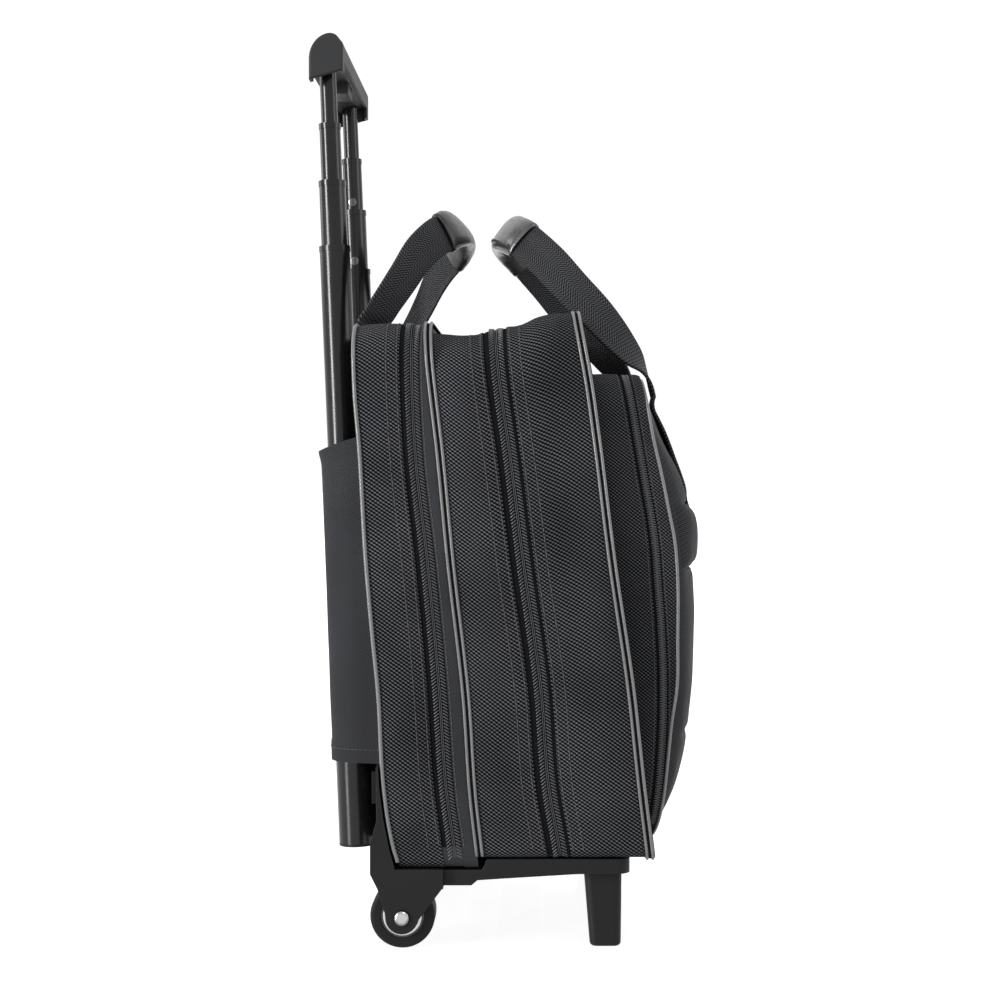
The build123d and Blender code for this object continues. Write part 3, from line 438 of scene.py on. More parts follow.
def plastic(name, base, rough=0.45, grain=900.0, gbump=0.12, spec=0.5, wear=0.0, tone=0.12, coat=0.0, bevel=0.0006):
    m = Mat(name)
    oc = m.coords()
    g = m.noise(oc, grain, 3.0, 0.6)
    g2 = m.n("TexVoronoi", {"Vector": oc, "Scale": grain * 0.8}).outputs["Distance"]
    big = m.noise(oc, 9.0, 4.0)
    smudge = m.noise(oc, 34.0, 5.0, 0.65)
    c = np.array(base, float)
    col = m.mix(m.maprange(big, 0.3, 0.7, 0.0, 1.0), c * (1 - tone), c * (1 + tone))
    if wear > 0:
        bn = m.n("Bevel", {"Radius": 0.0012}, samples=4).outputs[0]
        ge = m.n("NewGeometry").outputs["Normal"]
        dot = m.n("VectorMath", {0: bn, 1: ge}, operation="DOT_PRODUCT").outputs["Value"]
        edge = m.math("MULTIPLY", m.maprange(dot, 0.99, 0.85, 0.0, 1.0), m.maprange(smudge, 0.4, 0.62, 0.2, 1.0))
        col = m.mix(m.math("MULTIPLY", edge, wear), col, np.minimum(c * 3.2 + 0.02, 1.0))
    r = m.math("ADD", m.maprange(smudge, 0.25, 0.75, rough - 0.06, rough + 0.07), 0.0)
    hgt = m.math("MULTIPLY_ADD", g2, 0.6, g)
    if bevel:
        bn2 = m.n("Bevel", {"Radius": bevel}, samples=4).outputs[0]
        nrm = m.bump(hgt, gbump, 0.0003, bn2)
    else:
        nrm = m.bump(hgt, gbump, 0.0003)
    m.set(Base_Color=col, Roughness=r, Normal=nrm, Specular_IOR_Level=spec, Coat_Weight=coat, Coat_Roughness=0.15)
    return m.m


def metal(name, base, rough=0.12, metallic=1.0, coat=0.0, brush=0.0, tone=0.06, spec=0.5, bevel=0.0004):
    m = Mat(name)
    oc = m.coords()
    smudge = m.noise(oc, 26.0, 5.0, 0.6)
    c = np.array(base, float)
    col = m.mix(m.maprange(smudge, 0.3, 0.7, 0.0, 1.0), c * (1 - tone), c * (1 + tone))
    v = m.n("VectorMath", {0: oc, 1: (1500.0, 1500.0, 18.0)}, operation="MULTIPLY").outputs[0]
    st = m.noise(v, 1.0, 2.0)
    bn = m.n("Bevel", {"Radius": bevel}, samples=4).outputs[0]
    nrm = m.bump(st, 0.02 + brush, 0.0001, bn)
    r = m.maprange(smudge, 0.25, 0.75, max(rough - 0.03, 0.02), rough + 0.05)
    m.set(Base_Color=col, Roughness=r, Metallic=metallic, Normal=nrm, Coat_Weight=coat, Coat_Roughness=0.06, Specular_IOR_Level=spec)
    return m.m


BODY = fabric("bag_basket_weave", (0.0004, 0.0005, 0.0007), (0.098, 0.101, 0.109), 0.0026, aspect=1.3, bump=0.9, kind="diagonal", contrast=0.36, spec=0.05, sheen=0.0, tone=0.36)
POCK = fabric("pocket_side_fabric", (0.0008, 0.0009, 0.0011), (0.076, 0.078, 0.085), 0.0024, aspect=1.2, bump=0.8, kind="diagonal", contrast=0.4, spec=0.06, sheen=0.0, tone=0.30)
PLAIN = fabric("plain_side_fabric", (0.007, 0.0072, 0.0082), (0.030, 0.031, 0.034), 0.0014, bump=0.25, kind="twill", rough=0.7, spec=0.1, sheen=0.015)
PADF = fabric("pad_fabric", (0.004, 0.0042, 0.0048), (0.028, 0.0288, 0.0315), 0.0015, use="xz", bump=0.35, kind="twill", rough=0.62, spec=0.14, sheen=0.015)
LINING = fabric("inner_lining", (0.05, 0.051, 0.055), (0.085, 0.086, 0.09), 0.0009, bump=0.12, kind="twill", rough=0.55)
TAPE = fabric("zip_tape_fabric", (0.0012, 0.0013, 0.0016), (0.0090, 0.0093, 0.0102), 0.0014, bump=0.4, kind="twill", rough=0.9, spec=0.04, sheen=0.0)
WEB = fabric("webbing_ribbed", (0.0015, 0.0016, 0.0019), (0.046, 0.047, 0.052), 0.0022, bump=0.8, contrast=0.6, kind="rib", rough=0.62, aspect=1.1, spec=0.16)
BINDING = fabric("edge_binding", (0.03, 0.031, 0.034), (0.07, 0.072, 0.078), 0.0011, bump=0.2, kind="twill", rough=0.6)
TEETH = plastic("zip_coil_nylon", (0.042, 0.0435, 0.047), rough=0.34, grain=2500.0, gbump=0.05, bevel=0.0)
PIPE = plastic("piping_vinyl", (0.088, 0.088, 0.090), rough=0.3, grain=1200.0, gbump=0.06, tone=0.1, bevel=0.0, spec=0.6)
THREAD = plastic("sewing_thread", (0.034, 0.0345, 0.038), rough=0.6, grain=3000.0, gbump=0.3, bevel=0.0)
LEATHER = None


def leather(name, spec, coat, lo, hi):
    m = Mat(name)
    oc = m.coords()
    v1 = m.n("TexVoronoi", {"Vector": oc, "Scale": 720.0, "Randomness": 0.9}, feature="SMOOTH_F1").outputs["Distance"]
    v2 = m.noise(oc, 260.0, 4.0, 0.6)
    big = m.noise(oc, 38.0, 3.0)
    h = m.math("MULTIPLY_ADD", v2, 0.5, v1)
    col = m.mix(m.maprange(big, 0.3, 0.7, 0.0, 1.0), (lo, lo, lo * 1.1), (hi, hi, hi * 1.1))
    m.set(Base_Color=col, Roughness=m.maprange(v2, 0.3, 0.7, 0.26, 0.42), Normal=m.bump(h, 0.22, 0.0004), Specular_IOR_Level=spec, Coat_Weight=coat, Coat_Roughness=0.22)
    return m.m


# Lit and shaded copies of one leatherette: the front wrap's colour is painted lighter and the rear wrap's darker,
# standing in for how the light falls on each handle.
LEATHER_F_PAINTED_LIGHTER = leather("wrap_leatherette_front_painted_lighter", 0.75, 0.35, 0.010, 0.022)
LEATHER = leather("wrap_leatherette_rear_painted_darker", 0.3, 0.08, 0.006, 0.013)

BASE_PL = plastic("base_moulded_plastic", (0.0070, 0.0072, 0.0078), rough=0.46, spec=0.14, grain=1100.0, gbump=0.2, wear=0.35)
GRIP_PL = plastic("grip_soft_touch", (0.0125, 0.0128, 0.0136), rough=0.5, spec=0.2, grain=1400.0, gbump=0.16, wear=0.25, bevel=0.0012)
COLLAR_PL = plastic("collar_satin_plastic", (0.006, 0.0062, 0.0068), rough=0.4, spec=0.15, grain=900.0, gbump=0.1, wear=0.2)
BOARD_PL = plastic("board_plastic", (0.03, 0.03, 0.032), rough=0.5, grain=500.0, gbump=0.15)
RUBBER = plastic("tyre_rubber_compound", (0.006, 0.006, 0.0065), rough=0.6, grain=700.0, gbump=0.25, spec=0.14, bevel=0.0008)


def dome_painted_reflection_mat():
    """Polished steel with painted reflection: bright where it faces out, darker towards its rim."""
    m = Mat("steel_dome_painted_reflection")
    oc = m.coords()
    f = m.n("LayerWeight", {"Blend": 0.5}).outputs["Facing"]
    g = m.noise(oc, 500.0, 3.0)
    # painted reflection: a colour ramp on the facing ratio paints bright and dark reflection bands into the base colour
    col = m.ramp(m.math("ADD", f, m.math("MULTIPLY", m.math("SUBTRACT", g, 0.5), 0.08)), [(0.0, 0.46), (0.12, 0.38), (0.3, 0.10), (0.5, 0.3), (0.8, 0.06)])
    m.set(Base_Color=col, Metallic=1.0, Roughness=m.maprange(g, 0.3, 0.7, 0.12, 0.2), Normal=m.bump(g, 0.03, 0.0002))
    return m.m


DOME_STEEL_PAINTED_REFLECTION = dome_painted_reflection_mat()
SCREW = metal("zinc_screw", (0.28, 0.28, 0.29), rough=0.3, brush=0.2)
SPRINGM = metal("spring_wire", (0.4, 0.4, 0.42), rough=0.25)
LACQ = plastic("black_lacquered_tube", (0.0035, 0.0036, 0.004), rough=0.19, grain=60.0, gbump=0.0, spec=0.3, tone=0.2, bevel=0.0)
LOCKM = metal("dark_chrome_button", (0.12, 0.12, 0.122), rough=0.18)
SLIDERM = metal("zip_slider_enamel", (0.03, 0.03, 0.032), rough=0.28, metallic=0.3, coat=0.3)


def wheel_mat():
    """Black hub with a bright turned ring, told apart by the distance from the axle."""
    m = Mat("hub_with_bright_ring")
    oc = m.coords()
    x, y, z = m.sep(oc)
    lo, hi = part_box("wheel_hub_left")
    cy, cz = (lo.y + hi.y) / 2, (lo.z + hi.z) / 2
    r = m.math("SQRT", m.math("ADD", m.math("POWER", m.math("ABSOLUTE", m.math("SUBTRACT", y, cy)), 2.0), m.math("POWER", m.math("ABSOLUTE", m.math("SUBTRACT", z, cz)), 2.0)))
    ringm = m.math("MULTIPLY", m.math("GREATER_THAN", r, 0.0106), m.math("LESS_THAN", r, 0.0126))
    g = m.noise(oc, 700.0, 3.0)
    col = m.mix(ringm, m.mix(g, (0.018, 0.018, 0.019), (0.03, 0.03, 0.032)), (0.5, 0.5, 0.51))
    m.set(Base_Color=col, Metallic=ringm, Roughness=m.maprange(ringm, 0, 1, 0.4, 0.18), Normal=m.bump(g, 0.08, 0.0003, m.n("Bevel", {"Radius": 0.0004}, samples=4).outputs[0]))
    return m.m


HUB = wheel_mat()

CAD_MATS = {
    "base_tray": BASE_PL, "wheel_housing_left": BASE_PL, "wheel_housing_right": BASE_PL, "front_feet": BASE_PL,
    "axles": DOME_STEEL_PAINTED_REFLECTION, "tube_housings": LACQ, "tube_end_plugs": COLLAR_PL, "housing_collars": COLLAR_PL, "tube_clamps": COLLAR_PL,
    "back_board": BOARD_PL, "chassis_screws": SCREW, "stage4_tubes": LACQ, "stage3_tubes": LACQ, "stage2_tubes": LACQ, "stage1_tubes": LACQ,
    "grip_top_shell": GRIP_PL, "grip_bottom_shell": GRIP_PL, "release_spring": SPRINGM, "release_button": COLLAR_PL,
    "lock_button_stage2_left": LOCKM, "lock_button_stage2_right": LOCKM, "lock_button_stage3_left": LOCKM, "lock_button_stage3_right": LOCKM,
    "wheel_tyre_left": RUBBER, "wheel_tyre_right": RUBBER, "wheel_hub_left": HUB, "wheel_hub_right": HUB,
}
for n in NODES:
    if "slider" in n or n.endswith(("_pull", "_pull_left", "_pull_right")):
        CAD_MATS[n] = SLIDERM
for n, mt in CAD_MATS.items():
    o = NODES[n]
    o.data.materials.clear()
    o.data.materials.append(mt)
    for s_ in o.material_slots:
        s_.material = mt

# ---------------------------------------------------------------------------
# Small repeated pieces: zip teeth and stitches
# ---------------------------------------------------------------------------


def capsule(nseg=6):
    """Unit capsule along +X: half length 1, radius 1, as rings of points (x, y, z) and faces."""
    v, f = [], []
    rings = [(-1.0, -0.55, 0.62), (-1.0, 0.0, 1.0), (1.0, 0.0, 1.0), (1.0, 0.55, 0.62)]
    for a, b, r in rings:
        for k in range(nseg):
            t = 2 * math.pi * k / nseg
            v.append((a, b, r * math.cos(t), r * math.sin(t)))
    for i in range(3):
        for k in range(nseg):
            k2 = (k + 1) % nseg
            f.append((i * nseg + k, i * nseg + k2, (i + 1) * nseg + k2, (i + 1) * nseg + k))
    f.append(tuple(range(nseg))[::-1])
    f.append(tuple(3 * nseg + k for k in range(nseg)))
    return np.array(v), f


CAPV, CAPF = capsule()


def capsules(name, C, D, N, half, r, rn, mat, flat=None):
    """One mesh of capsules: centre C, direction D, up N (n x 3, mm), half length, radius sideways and radius along N."""
    C, D, N = (np.asarray(a, float) for a in (C, D, N))
    D = D / np.linalg.norm(D, axis=1, keepdims=True)
    N = N - D * (N * D).sum(1, keepdims=True)
    N = N / np.linalg.norm(N, axis=1, keepdims=True)
    S = np.cross(N, D)
    k = len(CAPV)
    half = np.broadcast_to(np.asarray(half, float), (len(C),))
    V = (C[:, None] + D[:, None] * (CAPV[None, :, 0:1] * half[:, None, None] + CAPV[None, :, 1:2] * r)
         + S[:, None] * CAPV[None, :, 2:3] * r + N[:, None] * CAPV[None, :, 3:4] * rn)
    verts = W(V.reshape(-1, 3))
    faces = [tuple(i * k + a for a in f) for i in range(len(C)) for f in CAPF]
    me = bpy.data.meshes.new(name)
    me.from_pydata(verts.tolist(), [], faces)
    bm = bmesh.new()
    bm.from_mesh(me)
    bmesh.ops.recalc_face_normals(bm, faces=bm.faces)
    bm.to_mesh(me)
    bm.free()
    me.polygons.foreach_set("use_smooth", np.ones(len(me.polygons), bool))
    me.materials.append(mat)
    o = bpy.data.objects.new(name, me)
    COLL.objects.link(o)
    return o


def resample(path, step, extra=(), start=0.0):
    """Points every `step` mm along a polyline, with the given per-point arrays interpolated."""
    path = np.asarray(path, float)
    s = np.concatenate([[0], np.cumsum(np.linalg.norm(np.diff(path, axis=0), axis=1))])
    q = np.arange(start, s[-1], step)
    out = [np.stack([np.interp(q, s, path[:, k]) for k in range(3)], 1)]
    for e in extra:
        out.append(np.stack([np.interp(q, s, e[:, k]) for k in range(e.shape[1])], 1))
    t = np.gradient(out[0], axis=0)
    t /= np.linalg.norm(t, axis=1, keepdims=True) + 1e-9
    return (*out, t)


def loop3(p, top, z0, hw=HW, rb=RB, rt=30.0, d=0.0, zt=None):
    """Closed loop on outline p: points and outward normals, (x, u, z)."""
    zt_ = top(float(p(400.0))) if zt is None else zt
    x, z, nx, nz = rr(hw, z0, zt_, rb, rt)
    pts = np.stack([x + nx * d, p(z), z + nz * d], 1)
    nrm = np.stack([nx, np.zeros_like(nx), nz], 1)
    return pts, nrm


def sweep(name, pts, nrm, a, b, mats, closed=False, seg=10, power=2.0, cap=True):
    """Sweeps a (super)ellipse: half width a across, half height b along the normal."""
    pts, nrm = np.asarray(pts, float), np.asarray(nrm, float)
    n = len(pts)
    if closed:
        t = np.roll(pts, -1, 0) - np.roll(pts, 1, 0)
    else:
        t = np.gradient(pts, axis=0)
    t /= np.linalg.norm(t, axis=1, keepdims=True)
    nn = nrm - t * (nrm * t).sum(1, keepdims=True)
    nn /= np.linalg.norm(nn, axis=1, keepdims=True)
    w = np.cross(nn, t)
    th = 2 * np.pi * np.arange(seg) / seg
    cx = np.sign(np.cos(th)) * np.abs(np.cos(th)) ** (2 / power)
    cy = np.sign(np.sin(th)) * np.abs(np.sin(th)) ** (2 / power)
    a = np.broadcast_to(np.asarray(a, float), (n,))
    b = np.broadcast_to(np.asarray(b, float), (n,))
    G = pts[:, None] + w[:, None] * (cx[None, :, None] * a[:, None, None]) + nn[:, None] * (cy[None, :, None] * b[:, None, None])
    s = np.concatenate([[0], np.cumsum(np.linalg.norm(np.diff(pts, axis=0), axis=1))])
    mb = MB()
    base = mb.verts(G)
    per = np.concatenate([[0], np.cumsum(np.linalg.norm(np.diff(np.concatenate([G[n // 2], G[n // 2, :1]]), axis=0), axis=1))]) * 0.001
    m = n if closed else n - 1
    for i in range(m):
        i2 = (i + 1) % n
        v0 = s[i] * 0.001
        v1 = (s[i + 1] if i + 1 < n else s[i] + np.linalg.norm(pts[0] - pts[-1])) * 0.001
        for k in range(seg):
            k2 = (k + 1) % seg
            mb.face([base + i * seg + k, base + i2 * seg + k, base + i2 * seg + k2, base + i * seg + k2],
                    [(per[k], v0), (per[k], v1), (per[k + 1], v1), (per[k + 1], v0)])
    if not closed and cap:
        for i, c in ((0, pts[0] - t[0] * min(b[0], a[0]) * 0.5), (n - 1, pts[-1] + t[-1] * min(b[-1], a[-1]) * 0.5)):
            ci = mb.verts([c])
            for k in range(seg):
                mb.face([base + i * seg + k, base + i * seg + (k + 1) % seg, ci])
    return mb.obj(name, mats, smooth=60)


def ride(o, body, slot_, *rep):
    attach(o, body)
    if rep:
        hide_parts(*rep)
    return o


# ---------------------------------------------------------------------------
# Camera, floor and light
# ---------------------------------------------------------------------------
cam_d = bpy.data.cameras.new("Camera")
cam_d.lens, cam_d.sensor_width = 62.5, 36.0
cam_d.shift_x, cam_d.shift_y = -0.05, -0.02
cam_d.clip_start, cam_d.clip_end = 0.05, 60.0
cam = bpy.data.objects.new("Camera", cam_d)
COLL.objects.link(cam)
cam.location = (-1.330, -0.0374, 0.3036)
cam.rotation_euler = (math.radians(90), 0, math.radians(-90))
bpy.context.scene.camera = cam
bpy.context.scene.view_settings.view_transform = "Standard"

FLOOR = Mat("pale_floor")
_fc = FLOOR.coords()
_fn = FLOOR.noise(_fc, 3.0, 3.0)
FLOOR.set(Base_Color=FLOOR.mix(_fn, (0.105, 0.105, 0.105), (0.115, 0.115, 0.115)), Roughness=0.12, Specular_IOR_Level=0.35, Emission_Color=(1.0, 1.0, 1.0, 1.0), Emission_Strength=0.92)
mb = MB()
gx = np.linspace(-40.0, 40.0, 17)
G = np.array([[(a, b, -0.0002) for b in gx] for a in gx])
mb.grid(G)
floor = mb.obj("studio_floor", [FLOOR.m], world=False)

world = bpy.data.worlds.new("studio")
bpy.context.scene.world = world
world.use_nodes = True
world.node_tree.nodes["Background"].inputs[0].default_value = (1.0, 1.0, 1.0, 1.0)
world.node_tree.nodes["Background"].inputs[1].default_value = 1.04


def area(name, loc, target, sx, sy, power, colour=(1, 1, 1)):
    d = bpy.data.lights.new(name, "AREA")
    d.shape = "RECTANGLE"
    d.size, d.size_y, d.energy, d.color = sx, sy, power, colour
    o = bpy.data.objects.new(name, d)
    COLL.objects.link(o)
    o.location = loc
    v = Vector(target) - Vector(loc)
    o.rotation_euler = v.to_track_quat("-Z", "Y").to_euler()
    return o


area("strip_rear", (-0.98, 1.26, 0.56), (-0.07, 0.105, 0.45), 0.32, 0.95, 31.0)
area("key_top", (-1.1, -0.7, 1.7), (0, -0.05, 0.25), 0.9, 0.9, 10.0)
area("fill_front", (-0.3, -1.9, 0.9), (0, 0, 0.3), 0.9, 1.2, 9.0)
area("rim_back", (0.7, 1.8, 1.2), (0, 0, 0.3), 0.8, 1.2, 8.0)

# ---------------------------------------------------------------------------
# Bag body: gussets, panels, pipings
# ---------------------------------------------------------------------------
T = 3.0


def gusset(name, ua, ub, top, z0, nj, puff, mats, seed, hw=HW, rb=RB, rt=30.0, zt=None, wall=T, lift=None, wrinkle=0.5, inner=None):
    Go = ring(ua, ub, top, z0, nj, puff, 0.0, hw, rb, rt, lift, wrinkle, seed, zt)
    Gi = ring(ua, ub, top, z0, nj, puff, wall, hw, rb, rt, lift, wrinkle, seed, zt)
    return shell(name, Go, Gi, True, mats, inner_mat=len(mats) - 1), Go


def fold_lift(s):
    """Lift of the turned-in edge beside a zip: returns no lift."""
    return 0.0


ZA1, ZB1 = 8.0, 5.2       # fabric edge to chain centre, rear and front side of the laptop zip
ZA2, ZB2 = 8.6, 7.0       # the same for the main zip

rear_gus, G_rear = gusset("rear_gusset_fabric", off(P1, 1.0), off(Z1, -ZA1), TOP_R, Z0R, 22, 2.0, [BODY, LINING], 3.0, wrinkle=1.0)
ride(rear_gus, "chassis", "body_fabric", "rear_gusset")
strip_gus, G_strip = gusset("laptop_strip_fabric", off(Z1, ZB1), off(P2, -1.6), TOP_S, Z0R, 9, 0.5, [PLAIN, LINING], 9.0, wrinkle=0.2)
ride(strip_gus, "mid", "plain_fabric")
mid_gus, G_mid = gusset("mid_gusset_fabric", off(P2, 1.6), off(Z2, -ZA2), TOP_M, Z0F, 22, 2.2, [BODY, LINING], 15.0, wrinkle=1.1)
ride(mid_gus, "mid", "body_fabric", "mid_gusset")
front_gus, G_front = gusset("front_gusset_fabric", off(Z2, ZB2), off(P3, -1.6), TOP_F, Z0F, 24, 2.2, [BODY, LINING], 27.0, wrinkle=1.1)
ride(front_gus, "front", "body_fabric", "front_gusset")


def panel(name, prof, d0, d1, zt, z0, hw, rb, rt, crown, mats, inner=1, seed=2.0, nx=64, nz=60, bow=None):
    """Rounded panel between prof + d0 (back) and prof + d1 (front)."""
    t = np.linspace(-1, 1, nx)
    xs = hw * np.sign(t) * (1 - (1 - np.abs(t)) ** 1.35)
    xs = hw * np.sin(t * math.pi / 2) * 0.55 + hw * t * 0.45
    v = np.linspace(0, 1, nz)
    v = v * 0.5 + (0.5 - 0.5 * np.cos(v * math.pi)) * 0.5

    def grid_(d, sgn):
        G = np.empty((nx, nz, 3))
        for i, x in enumerate(xs):
            eb = max(0.0, abs(x) - (hw - rb))
            et = max(0.0, abs(x) - (hw - rt))
            zl = z0 + rb - math.sqrt(max(rb * rb - eb * eb, 0.0))
            zh = zt - rt + math.sqrt(max(rt * rt - et * et, 0.0))
            z = zl + v * (zh - zl)
            e = np.minimum(np.minimum(v, 1 - v) * 6, 1) * min(1.0, (1 - abs(x) / hw) * 9)
            w = np.array([nz3((x, 0, zz), 0.017, seed) for zz in z])
            G[i, :, 0] = x
            G[i, :, 1] = prof(z) + d + sgn * e * (crown * (1 - (x / hw) ** 2) ** 0.8 * np.sin(np.pi * v) + 0.7 * w)
            G[i, :, 2] = z
        return G
    return grid_(d0, 0 if bow is None else bow), grid_(d1, 1 if bow is None else bow)


Gb, Gf = panel("back", P1, 0.2, 2.4, 404.6, Z0R, HW - 0.6, RB, 30, 0.0, None, bow=0)
o = shell("back_panel_fabric", Gb, Gf, False, [BODY, LINING], inner_mat=1)
ride(o, "chassis", "body_fabric", "back_panel")
Gb, Gf = panel("div", P2, -1.6, 1.6, 406.6, Z0F, HW - 0.6, RB, 30, 0.0, None, bow=0)
o = shell("divider_fabric", Gb, Gf, False, [PLAIN, LINING], inner_mat=1)
ride(o, "mid", "body_fabric", "divider_panel")
Gb, Gf = panel("front", P3, -2.4, -0.2, 413.6, Z0F, HW - 0.6, RB, 30, 0.0, None, bow=0)
o = shell("front_panel_fabric", Gb, Gf, False, [LINING, BODY], inner_mat=1)
ride(o, "front", "body_fabric", "front_panel")


def open_loop(pts, nrm, zmin):
    """The part of a closed loop above zmin, as an open path that starts on the right side."""
    keep = pts[:, 2] > zmin
    i0 = int(np.argmax(keep))
    i1 = len(keep) - 1 - int(np.argmax(keep[::-1]))
    return pts[i0:i1 + 1], nrm[i0:i1 + 1]


def bead(name, prof, du, top, z0, r, body, zmin=None, hw=HW, rb=RB, rt=30.0, d=0.8, zt=None, rep=()):
    pts, nrm = loop3(off(prof, du), top, z0, hw, rb, rt, d, zt)
    if zmin is not None:
        pts, nrm = open_loop(pts, nrm, zmin)
    o = sweep(name, pts, nrm, r, r, [PIPE], closed=zmin is None, seg=12)
    return ride(o, body, "piping", *rep)


flat405 = lambda u: 405.2
bead("rear_piping_bead", P1, 0.4, flat405, Z0R, 1.3, "chassis", 56.5, rep=("rear_piping",))
bead("mid_piping_bead_rear", P2, -1.85, lambda u: 407.0, Z0F, 1.02, "mid", 60.5, d=0.9, rep=("mid_piping",))
bead("mid_piping_bead_front", P2, 1.85, lambda u: 406.8, Z0F, 1.02, "mid", 60.5, d=0.9)
bead("front_piping_bead_rear", P3, -1.85, lambda u: 413.8, Z0F, 1.02, "front", None, d=0.9, rep=("front_piping",))
bead("front_piping_bead_front", P3, 1.85, lambda u: 413.9, Z0F, 1.02, "front", None, d=0.9)


def edge_band(name, prof, w, top, z0, body, zmin, d=0.0, zt=None):
    """Dark binding under and between the two beads of a double piping."""
    pts, nrm = loop3(prof, top, z0, HW, RB, 30, d, zt)
    if zmin is not None:
        pts, nrm = open_loop(pts, nrm, zmin)
    o = sweep(name, pts, nrm, w, 0.9, [TAPE], closed=zmin is None, seg=12, power=3)
    return ride(o, body, "piping")


edge_band("mid_piping_binding", P2, 3.4, lambda u: 406.6, Z0F, "mid", 60.5)
edge_band("front_piping_binding", P3, 3.4, lambda u: 413.5, Z0F, "front", None)

# ---------------------------------------------------------------------------
# Zips
# ---------------------------------------------------------------------------


def side_range(z0, rb, zt, rt, zlow):
    i0, i1 = split_index(z0, rb, zt, rt, zlow)
    return i0, i1


def zip_half(prefix, prof, sgn, width, top, z0, body, tslot, hw=HW, rb=RB, rt=30.0, zt=None, zlow=LOW, pitch=2.1, tooth=1.55, reach=(1.35, 4.7), slant=36.0, phase=0.0, rep=(), edge=None, depth=0.9, tr=0.4):
    """One half of a zip: tape and its row of coil turns. sgn -1 is the rear half."""
    zt_ = top(float(prof(400.0))) if zt is None else zt
    i0, i1 = split_index(z0, rb, zt_, rt, zlow)
    prof_edge = edge if edge is not None else off(prof, sgn * (width + 1.5))
    Go = ring(off(prof, sgn * 0.3), prof_edge, top, z0, 8, 0.0, depth, hw, rb, rt, None, 0.0, 1.0, zt)[i0:i1 + 1]
    Gi = ring(off(prof, sgn * 0.3), prof_edge, top, z0, 8, 0.0, depth + 1.0, hw, rb, rt, None, 0.0, 1.0, zt)[i0:i1 + 1]
    tape = shell(prefix + "_tape", Go, Gi, False, [TAPE])
    ride(tape, body, "zip_tape", *rep)
    x, z, nx, nz = rr(hw, z0, zt_, rb, rt, depth - 0.35)
    c = np.stack([x, prof(z), z], 1)[i0:i1 + 1]
    nn = np.stack([nx, 0 * nx, nz], 1)[i0:i1 + 1]
    q, nq, t = resample(c, pitch, (nn,), start=phase)
    a = np.cross(nq, t)
    a *= np.sign(a[:, 1:2])          # towards the front
    a = a * sgn
    mid_, hl = (reach[0] + reach[1]) / 2, (reach[1] - reach[0]) / 2
    left = (q[:, 0] < 0).astype(float)
    up = np.where(left > 0, -1.0, 1.0)[:, None] * t      # upwards on both sides
    k = math.radians(slant)
    D = a * math.cos(k) - up * math.sin(k)
    teeth = capsules(prefix + "_coil", q + a * mid_ + nq * 0.15, D, nq, hl / math.cos(k) - 0.3, tr, tr, TEETH)
    ride(teeth, body, "zip_metal")
    # core cord under the turns
    cord = sweep(prefix + "_core", q + a * 0.55 - nq * 0.15, nq, 0.3, 0.35, [THREAD], seg=6)
    ride(cord, body, "zip_tape")
    return c, nn


zip_half("laptop_zip_rear", Z1, -1, ZA1, TOP_R, Z0R, "chassis", "zip_tape", rep=("laptop_zipper_rear_half",))
zip_half("laptop_zip_front", Z1, 1, ZB1, TOP_S, Z0R, "mid", "zip_tape", rep=("mid_zipper_halves",))
zip_half("main_zip_rear", Z2, -1, ZA2, TOP_M, Z0F, "mid", "zip_tape")
zip_half("main_zip_front", Z2, 1, ZB2, TOP_F, Z0F, "front", "zip_tape", rep=("front_zipper_halves",))

PZ0, PZT, PHW, PRB, PRT = 68.4, 374.0, 192.0, 22.0, 26.0


def z3_rear(z):
    return np.maximum(Z3(z) - 4.2, P3(z) + 0.5)


def z3_front(z):
    return np.minimum(Z3(z) + 3.1, P4(z) - 0.2)


zip_half("pocket_zip_rear", Z3, -1, 4.0, None, PZ0, "front", "zip_tape", hw=PHW, rb=PRB, rt=PRT, zt=PZT, zlow=77.0, pitch=1.6, tooth=1.2, reach=(-0.3, 2.5), slant=14.0, edge=lambda z: np.maximum(Z3(z) - 5.2, P3(z) + 0.4), tr=0.42)
zip_half("pocket_zip_front", Z3, 1, 2.6, None, PZ0, "cover", "zip_tape", hw=PHW, rb=PRB, rt=PRT, zt=PZT, zlow=77.0, pitch=1.6, tooth=1.2, reach=(-0.3, 2.5), slant=14.0, phase=0.8, edge=lambda z: np.minimum(Z3(z) + 4.0, P4(z) - 0.1), rep=("pocket_zipper_half",), tr=0.42)

# ---------------------------------------------------------------------------
# Pocket: side wall, cover strip
# ---------------------------------------------------------------------------
pk_gus, G_pk = gusset("pocket_gusset_fabric", off(P3, 0.6), z3_rear, None, PZ0, 14, 1.0, [POCK, LINING], 41.0, hw=PHW, rb=PRB, rt=PRT, zt=PZT, wrinkle=0.7)
ride(pk_gus, "front", "plain_fabric", "pocket_gusset")
TOP_P = curve([(20.0, 374.0), (50.0, 374.2), (54.5, 373.6), (58.0, 371.6), (61.0, 368.8), (64.0, 366.0)])
cv_gus, G_cv = gusset("cover_strip_fabric", z3_front, off(P4, 0.0), TOP_P, PZ0, 10, 0.4, [POCK, LINING], 47.0, hw=PHW, rb=PRB, rt=PRT, wrinkle=0.2, wall=2.4)
ride(cv_gus, "cover", "pad_fabric")
bead("pocket_piping_bead", P4, 0.6, None, PZ0, 1.1, "cover", None, hw=PHW, rb=PRB, rt=PRT, d=0.5, zt=369.6, rep=("pocket_piping",))
